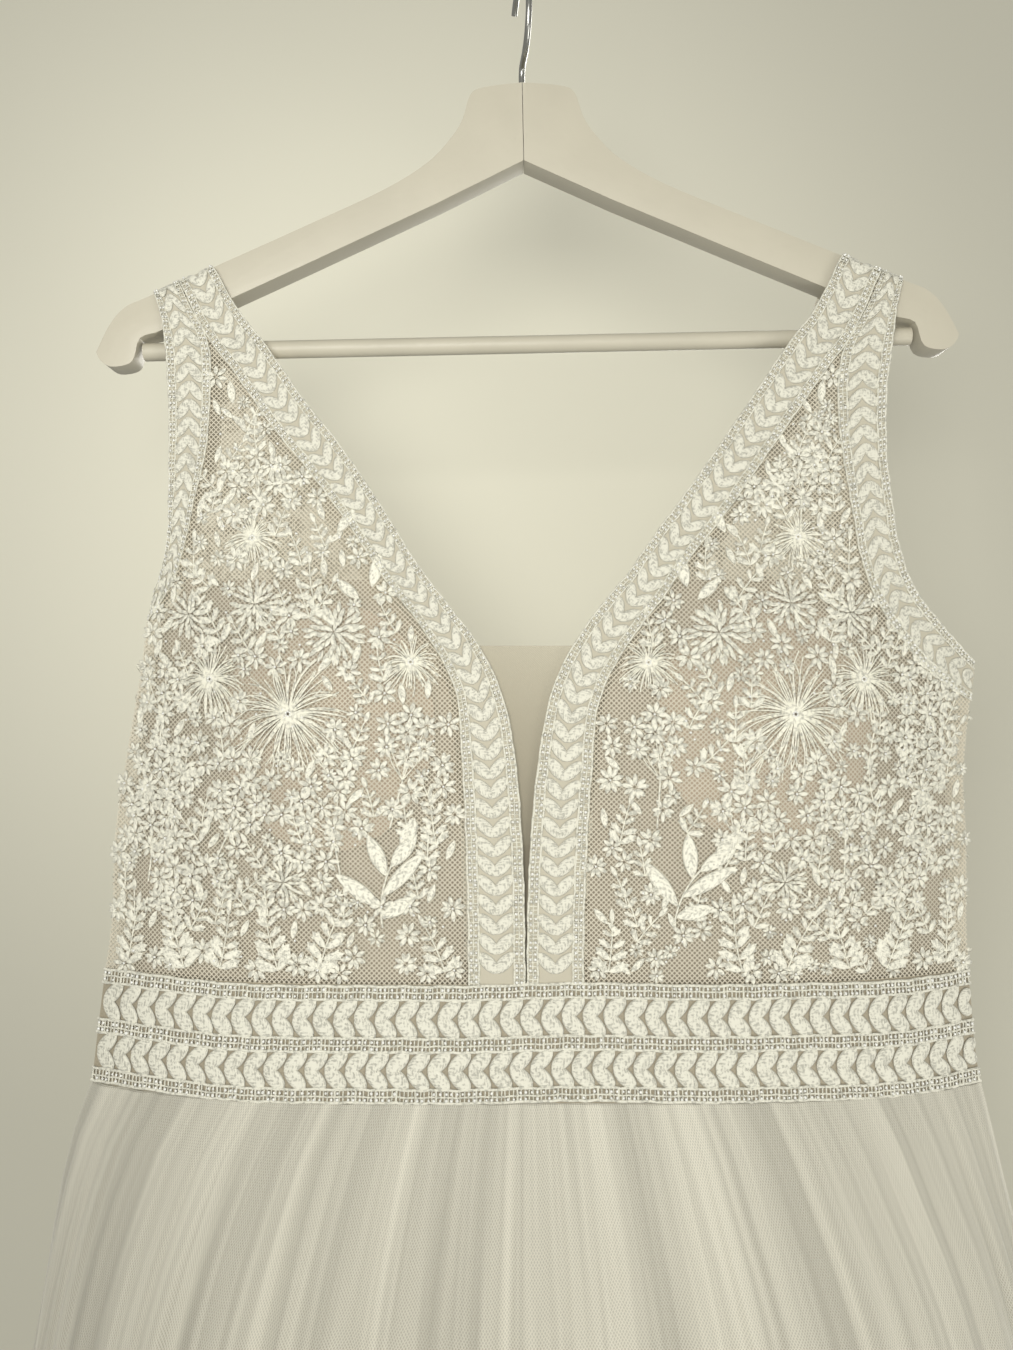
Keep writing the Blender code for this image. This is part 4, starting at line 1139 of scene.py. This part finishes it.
def tape_ground(bm, length):
    """The tape that the leaves and cords are worked on, a flat strip."""
    made = bmesh.ops.create_grid(bm, x_segments=int(length / 4.0), y_segments=6, size=0.5,
                                 matrix=Matrix.Rotation(math.radians(-90), 4, "X"))
    for vertex in made["verts"]:
        vertex.co = Vector(((vertex.co.x + 0.5) * length, TAPE_LIFT, (0.5 - vertex.co.z) * TRIM_WIDTH))
        for face in vertex.link_faces:
            face.material_index = 2


def border(bm, length, shares, chance, strong_every):
    """One beaded border: three cords, cross stitches and seed beads between them."""
    outer, middle, inner = (share * TRIM_WIDTH for share in shares)
    count = int(length / 2.6)
    for across, radius in ((outer, 0.65), (middle, 0.4), (inner, 0.6)):
        path = [(length * step / count, TRIM_LIFT + 0.25 * math.sin(step * 1.9),
                 across + 0.16 * math.sin(step * 0.83) + 0.1 * math.sin(step * 2.1)) for step in range(count + 1)]
        couch(bm, [path], radius, 1)
    bars = {0.4: [], 0.65: []}
    stitches = int(length / 1.9)
    for stitch in range(stitches):
        along = length * (stitch + 0.5) / stitches + chance.uniform(-0.15, 0.15)
        strong = strong_every and stitch % strong_every == 0
        bars[0.65 if strong else 0.4].append(
            [(along, TRIM_LIFT - 0.1, outer), (along + chance.uniform(-0.3, 0.3), TRIM_LIFT, inner)])
    for radius, paths in bars.items():
        couch(bm, paths, radius)
    beads = int(length / 2.7)
    for number in range(beads):
        along = length * (number + 0.5) / beads + chance.uniform(-0.4, 0.4)
        for across in ((outer + middle) / 2, (middle + inner) / 2):
            if chance.random() < 0.75:
                bead(bm, along, across, chance.uniform(0.6, 0.85), TRIM_LIFT + 0.45)


def leaf_trim(name, tape, face, pitch, lead, nodes, seed, borders=BORDERS, zone=LEAF_ZONE,
              leaf_size=TRIM_LEAF_SIZE, strong_every=0):
    """A whole trim on its tape. lead turns the leaf pairs: their points ahead of their tips, or behind."""
    chance = random.Random(seed)
    bm = bmesh.new()
    bm.loops.layers.uv.new("leaf")
    if strong_every == 0:
        tape_ground(bm, tape.length)
    pairs = max(round(tape.length / pitch), 2)
    step = tape.length / pairs
    middle = (zone[0] + zone[1]) / 2 * TRIM_WIDTH
    reach = (zone[1] - zone[0]) / 2 * TRIM_WIDTH
    width, back = leaf_size[0], -math.copysign(leaf_size[1], lead)
    for pair in range(-2, pairs + 3):
        point = step * (pair + 0.3)
        # A leaf at an end of the tape is shortened to what fits
        ends = sorted(((0.6 - point) / back, (tape.length - 0.6 - point) / back))
        first, last = max(ends[0], -0.13), min(ends[1], 1.05)
        if last - first < 0.7:
            continue
        for hand in (-1, 1):
            stamp(bm, TRIM_LEAF, point + back * first + chance.uniform(-0.2, 0.2), middle + hand * (reach * first + 0.1),
                  math.degrees(math.atan2(back, reach * hand)), math.hypot(back, reach) * (last - first),
                  width * min(last - first + 0.05, 1.0) * chance.uniform(0.96, 1.04), chance.uniform(0.65, 0.8),
                  TRIM_LIFT - 0.2)
    for shares in borders:
        border(bm, tape.length, shares, chance, strong_every)

    def hang(points):
        return hang_on(face)(tape.lay(points))
    return finish_piece(name, bm, [TRIM_THREAD, BEADS, TAPE_CLOTH], nodes, hang)


for side in ("left", "right"):
    for face, place in ((-1, "front"), (1, "back")):
        leaf_trim(f"neck_leaves_{place}_{side}", Tape(trim_rows(NECK, side, face)), face, LEAF_PITCH, LEAF_LEAD,
                  [f"neck_trim_{place}_{side}"], 31 + face)
        leaf_trim(f"arm_leaves_{place}_{side}", Tape(trim_rows(ARM, side, face)), face, LEAF_PITCH, -LEAF_LEAD,
                  [f"arm_trim_{place}_{side}"], 41 + face)


# Waist
# Two rows of the same tape laid across, sharing the border between them, on a nude ground that joins
# bodice and skirt. They run whole across the front and part at the closure behind.
WAIST_MIDDLE = -522.5
WAIST_SEAM = -551.0
WAIST_PITCH = 9.8
WAIST_LEAD = 6.0
WAIST_BORDERS = ((0.015, 0.105, 0.215), (0.985, 0.895, 0.785))
WAIST_ZONE = (0.228, 0.772)
WAIST_LEAF_SIZE = (7.1, 9.0)
GROUND_COLOUR = (0.35, 0.31, 0.23)
WAIST_CLOTH = netting("waist_net", GROUND_COLOUR, NET_PITCH, 0.5, 0.9, 1.0, 0.2)


def waist_cut(start, end):
    """A function from a unit grid to the flat waist band between two shares of its width."""
    def cut(points):
        z = WAIST_TOP + (WAIST_SEAM - WAIST_TOP) * (0.5 - points[:, 2])
        left, right = at(SMOOTH_SIDES, z, 1), at(SMOOTH_SIDES, z, 2)
        first = left if start is None else np.full_like(z, start)
        last = right if end is None else np.full_like(z, end)
        return np.stack([first + (last - first) * (points[:, 0] + 0.5), points[:, 1], z], axis=-1)
    return cut


def waist_tape(top, bottom, start, end):
    """The tape of one row, from the left to the right, its first edge on top."""
    rows = []
    for share in np.linspace(0, 1, 60):
        row = []
        for z in (top, bottom):
            left = float(at(SMOOTH_SIDES, z, 1)) if start is None else start
            right = float(at(SMOOTH_SIDES, z, 2)) if end is None else end
            x = left + (right - left) * share
            row += [x, z + 0.7 * math.sin(x / 41.0 + 0.6) + 0.4 * math.sin(x / 17.0)]
        rows.append(row)
    return Tape(rows)


for place, face, start, end in (("front", -1, None, None), ("back_left", 1, None, CENTRE - GAP),
                                ("back_right", 1, CENTRE + GAP, None)):
    nodes = [f"waist_upper_{place}", f"waist_lower_{place}"]
    cut = waist_cut(start, end)
    columns = 90 if face < 0 else 45
    ground = bodice_panel(f"waist_ground_{place}", columns, 12, cut, face, 0.4, WAIST_CLOTH, nodes)
    declare_cut(ground)
    leaf_trim(f"waist_leaves_upper_{place}", waist_tape(WAIST_TOP, WAIST_MIDDLE - 4.5, start, end), face,
              WAIST_PITCH, -WAIST_LEAD, nodes[:1], 51, WAIST_BORDERS, WAIST_ZONE, WAIST_LEAF_SIZE, 5)
    leaf_trim(f"waist_leaves_lower_{place}", waist_tape(WAIST_MIDDLE + 2.5, WAIST_SEAM, start, end), face,
              WAIST_PITCH, -WAIST_LEAD, nodes[1:], 57, WAIST_BORDERS[1:], WAIST_ZONE, WAIST_LEAF_SIZE, 5)


# Underskirt
# A smooth ivory satin layer, cut in a front and a back, that hangs inside the tulle and shows through it.
SIDE_SEAM_Y = -4.0
HEM = -1645.0
# Rings: height, x of the left side, x of the right side, front depth, back depth, fold depth, roundness
SKIRT = smooth_curve([
    (-551.3, -214.0, 230.0, 27, 16, 1.4, 0.0), (-590, -226.5, 239.0, 40, 26, 2.6, 0.2),
    (-680, -241.0, 259.0, 56, 40, 4.4, 0.5), (-900, -272.0, 294.0, 82, 66, 6.6, 0.9),
    (-1250, -322.0, 346.0, 112, 94, 8.6, 1.0), (HEM, -378.0, 404.0, 142, 122, 10.5, 1.0)], 8)
UNDER_INSETS = np.array([(-551.3, 2.2), (-590, 7.0), (-680, 11.5), (-900, 15.5), (-1250, 19.0), (HEM, 22.0)])
UNDER_SIDE_INSET = 17.0
UNDER_HEM_RISE = 12.0
UNDER_WAIST = 440.0
UNDER_HEM = 840.0
SATIN_COLOUR = (0.74, 0.715, 0.61)
# Soft hanging folds of the underskirt: place across, width, depth
UNDER_FOLDS = [(-0.78, 0.07, 3.0), (-0.55, 0.05, 2.2), (-0.3, 0.08, 3.6), (-0.08, 0.05, 2.4), (0.16, 0.07, 3.2),
               (0.38, 0.05, 2.0), (0.6, 0.08, 3.6), (0.82, 0.05, 2.4)]


def ring_at(z, column):
    """A column of the skirt's rings at heights z."""
    return np.interp(-z, -SKIRT[:, 0], SKIRT[:, column])


def skirt_section(across, z, face, side_inset, depth_inset):
    """x and y of the skirt's plain curve, with across from -1 at the left to 1 at the right."""
    left, right = ring_at(z, 1) + side_inset, ring_at(z, 2) - side_inset
    depth = ring_at(z, 3 if face < 0 else 4) - depth_inset
    roundness = ring_at(z, 6)
    reach = (1 - roundness) * across + roundness * np.sin(math.pi / 2 * across)
    arch = (1 - roundness) * (1 - across ** 4) + roundness * np.cos(math.pi / 2 * across)
    x = CENTRE + np.abs(reach) * (np.where(across < 0, left, right) - CENTRE)
    return x, SIDE_SEAM_Y + face * (GAP / 2 + depth * arch)


def hang_skirt(face, side_inset, depth_inset, stand, top, bottom):
    """A function that hangs a unit grid as a skirt layer, its folds given by stand."""
    def hang(points):
        across = np.clip(points[:, 0] * 2, -1.0, 1.0)
        z = top + (bottom - top) * (0.5 - points[:, 2])
        inset = depth_inset(z)
        x, y = skirt_section(across, z, face, side_inset, inset)
        ahead = skirt_section(np.minimum(across + 0.01, 1.0), z, face, side_inset, inset)
        behind = skirt_section(np.maximum(across - 0.01, -1.0), z, face, side_inset, inset)
        out = np.stack([-(ahead[1] - behind[1]), ahead[0] - behind[0], np.zeros_like(z)], axis=-1) * face
        out /= np.linalg.norm(out, axis=1)[:, None]
        return np.stack([x, y, z], axis=-1) + out * stand(across, z)[:, None], out
    return hang


def skirt_cut(waist, hem, top, bottom):
    """A function from a unit grid to the flat layer, cut straight from its waist's to its hem's width."""
    def cut(points):
        down = 0.5 - points[:, 2]
        return np.stack([points[:, 0] * (waist + (hem - waist) * down), top + (bottom - top) * down], axis=-1)
    return cut


def under_stand(across, z):
    """Soft folds of the underskirt, deeper towards the hem."""
    grown = np.clip((-560.0 - z) / 900.0, 0.0, 1.0)
    stand = np.zeros_like(z)
    for place, width, depth in UNDER_FOLDS:
        stand -= depth * grown * np.exp(-((across - place - 0.02 * np.sin(z / 210.0)) / width) ** 2)
    return stand


SATIN = woven("ivory_satin", SATIN_COLOUR, 0.5, 3600.0, 0.35, mottle=8.0)

for face, place in ((-1, "front"), (1, "back")):
    top, bottom = SKIRT[0, 0] - 0.2, HEM + UNDER_HEM_RISE
    piece = finish_piece(
        f"satin_underskirt_{place}", unit_grid(110, 60), [SATIN], [f"underskirt_{place}"],
        hang_skirt(face, UNDER_SIDE_INSET, lambda z: np.interp(-z, -UNDER_INSETS[:, 0], UNDER_INSETS[:, 1]),
                   under_stand, top, bottom),
        skirt_cut(UNDER_WAIST, UNDER_HEM, top, bottom))
    declare_cut(piece)


# Tulle
# Two layers of soft ivory tulle in front and two behind, each a straight piece gathered into the waist
# seam. Its folds are uneven, fan out to the hem and shift a little on their way down.
FOLDS = 25
TULLE_WIDTH = 1000.0
TULLE_COLOUR = (0.685, 0.662, 0.57)


def fold_edges():
    """Where the gathers meet across a panel, from -1 to 1, and how far each stands out."""
    fold = np.arange(FOLDS)
    widths = 1 + 0.32 * np.sin(2.3 * fold + 0.6) + 0.18 * np.sin(5.1 * fold)
    edges = np.concatenate([[0.0], np.cumsum(widths)]) / widths.sum() * 2 - 1
    return edges, 0.8 + 0.2 * np.sin(1.7 * fold + 1.0)


FOLD_EDGES, FOLD_DEPTHS = fold_edges()


def main_folds(across, z):
    """The gathers that the solid has too."""
    shifted = np.clip(across + 0.004 * np.sin(z / 160.0 + across * 9.0), -1.0, 1.0)
    fold = np.clip(np.searchsorted(FOLD_EDGES, shifted, side="right") - 1, 0, FOLDS - 1)
    share = (shifted - FOLD_EDGES[fold]) / (FOLD_EDGES[fold + 1] - FOLD_EDGES[fold])
    return FOLD_DEPTHS[fold] * np.sin(math.pi * share) ** 2 * ring_at(z, 5)


def inner_stand(across, z):
    """Folds of the inner tulle layer, with small gathers under the waist."""
    down = SKIRT[0, 0] - z
    small = 0.5 * np.exp(-down / 130.0) * np.sin(across * 210.0 + 1.3 * np.sin(across * 31.0))
    return main_folds(across, z) - 0.7 + small * np.clip(down / 12.0, 0, 1)


def outer_stand(across, z):
    """Folds of the outer tulle layer, which bridges some of the inner ones and adds its own."""
    down = SKIRT[0, 0] - z
    own = np.sin(across * 47.0 + 2.2 * np.sin(across * 7.0 + 0.4) + 0.25 * np.sin(z / 190.0))
    deep = ring_at(z, 5) * (0.45 + 0.5 * np.clip(own, -1, 1) ** 2 * np.sign(own))
    small = 0.45 * np.exp(-down / 160.0) * np.sin(across * 260.0 + 2.0 * np.sin(across * 23.0))
    edge = np.clip((1 - np.abs(across)) * 12.0, 0, 1)
    return np.maximum(main_folds(across, z) + 0.6, deep * edge) + 0.5 + small * np.clip(down / 12.0, 0, 1)


def hanging_bands():
    """Group: soft and sharp bands down gathered cloth, where more or fewer of its layers lie together; they also give
    painted shade in the folds.
    """
    group, given, result = new_group(
        "hanging_bands", [("Cut", "NodeSocketVector", None), ("Scale", "NodeSocketFloat", 20.0)], ["Bands"])
    narrow = node(group, "ShaderNodeMapping", [("Vector", given.outputs["Cut"])])
    narrow.inputs["Scale"].default_value = (1.0, 0.035, 1.0)
    parts = []
    for factor, detail in ((1.0, 4.0), (3.7, 2.0)):
        scale = node(group, "ShaderNodeMath", [(0, given.outputs["Scale"])], operation="MULTIPLY", in1=factor)
        noise = node(group, "ShaderNodeTexNoise", [("Vector", narrow.outputs["Vector"]),
                                                   ("Scale", scale.outputs[0])])
        noise.inputs["Detail"].default_value = detail
        noise.inputs["Roughness"].default_value = 0.6
        parts.append(noise)
    both = node(group, "ShaderNodeMath", [(0, parts[1].outputs["Fac"]), (2, parts[0].outputs["Fac"])],
                operation="MULTIPLY_ADD", in1=0.6)
    spread = node(group, "ShaderNodeMapRange", [("Value", both.outputs[0])])
    spread.inputs["From Min"].default_value = 0.6
    spread.inputs["From Max"].default_value = 1.0
    group.links.new(spread.outputs["Result"], result.inputs["Bands"])
    return group


def soft_tulle():
    """Fine soft netting, closer where it stands edge-on in its folds. Its bands make it closer and lighter where layers
    lie together, and darker between them as painted shade in the folds.
    """
    material, tree, shader = finish_material("soft_tulle", TULLE_COLOUR, 0.75, sheen=0.3)
    cut = new_uv_node(tree, "cut")
    net = node(tree, "ShaderNodeGroup", [("Cut", cut.outputs["UV"])], node_tree=NET)
    net.inputs["Pitch"].default_value = 2.4 * MM
    net.inputs["Thread"].default_value = 0.36
    bands = node(tree, "ShaderNodeGroup", [("Cut", cut.outputs["UV"])], node_tree=LAYER_AND_FOLD_SHADE_BANDS)
    # Painted shade: the bands darken the colour between them, for shade lines of the folds.
    shade_by(tree, shader, bands.outputs["Bands"], tinted(TULLE_COLOUR, 0.76), tinted(TULLE_COLOUR, 1.04))
    cloth = node(tree, "ShaderNodeNewGeometry")
    turned = node(tree, "ShaderNodeSeparateXYZ", [(0, cloth.outputs["Normal"])])
    flat = node(tree, "ShaderNodeMath", [(0, turned.outputs["Y"])], operation="ABSOLUTE")
    eased = node(tree, "ShaderNodeMath", [(0, flat.outputs[0])], operation="POWER", in1=0.7)
    away = node(tree, "ShaderNodeMath", [(1, eased.outputs[0])], operation="SUBTRACT", in0=1.0)
    closeness = node(tree, "ShaderNodeMath", [(0, bands.outputs["Bands"]), (2, away.outputs[0])],
                     operation="MULTIPLY_ADD", in1=0.35)
    threads = node(tree, "ShaderNodeMath", [(0, net.outputs["Threads"]), (2, closeness.outputs[0])],
                   operation="MULTIPLY_ADD", in1=0.38)
    solid = node(tree, "ShaderNodeMapRange", [("Value", threads.outputs[0])])
    solid.inputs["From Max"].default_value = 1.0
    solid.inputs["To Min"].default_value = 0.3
    solid.inputs["To Max"].default_value = 0.96
    tree.links.new(solid.outputs["Result"], shader.inputs["Alpha"])
    raise_by(tree, shader, net.outputs["Height"], 0.00015, 0.6)
    return material


LAYER_AND_FOLD_SHADE_BANDS = hanging_bands()
TULLE = soft_tulle()

for face, place in ((-1, "front"), (1, "back")):
    for layer, stand, bottom in (("inner", inner_stand, HEM + 5.0), ("outer", outer_stand, HEM)):
        top = SKIRT[0, 0] - 0.1
        bm = unit_grid(290, 46)
        piece = finish_piece(f"tulle_{layer}_{place}", bm, [TULLE], [f"skirt_tulle_{place}"],
                             hang_skirt(face, 0.0, lambda z: np.zeros_like(z), stand, top, bottom),
                             skirt_cut(TULLE_WIDTH, TULLE_WIDTH, top, bottom))
        declare_cut(piece)


# Closure
# A satin fly down the centre back from the bodice to the waist seam, with covered buttons and cord loops.
PLACKET_TOP = -436.0
PLACKET_HALF_WIDTH = 8.0
PLACKET_LIFT = 4.3
BUTTONS = 7
BUTTON_DIAMETER = 9.0
BUTTON_PITCH = 15.0
FIRST_BUTTON = -444.0


def placket_cut(points):
    """The fly's flat shape."""
    z = PLACKET_TOP + (WAIST_SEAM - PLACKET_TOP) * (0.5 - points[:, 2])
    return np.stack([CENTRE + PLACKET_HALF_WIDTH * 2 * points[:, 0], np.full_like(z, PLACKET_LIFT), z], axis=-1)


fly = finish_piece("satin_fly", unit_grid(10, 60), [SATIN], ["back_placket"],
                   lambda points: hang_on(1)(placket_cut(points)), lambda points: placket_cut(points)[:, [0, 2]])
declare_cut(fly)

bm = bmesh.new()
bm.loops.layers.uv.new("leaf")
loops = []
for number in range(BUTTONS):
    z = FIRST_BUTTON - BUTTON_PITCH * number
    seat = Matrix.Translation((CENTRE, PLACKET_LIFT + 2.6, z)) @ Matrix.Diagonal((1.0, 0.5, 1.0, 1.0))
    bmesh.ops.create_uvsphere(bm, u_segments=20, v_segments=12, radius=BUTTON_DIAMETER / 2, matrix=seat)
    loops.append([(CENTRE + 5.4 * math.cos(angle), PLACKET_LIFT + 0.7, z + 5.2 * math.sin(angle))
                  for angle in np.linspace(-math.pi * 0.9, math.pi * 0.9, 17)])
couch(bm, loops, 0.55, 1)
finish_piece("covered_buttons", bm, [SATIN], [f"back_button_{n + 1}" for n in range(BUTTONS)],
             hang_on(1), on_the_flat)
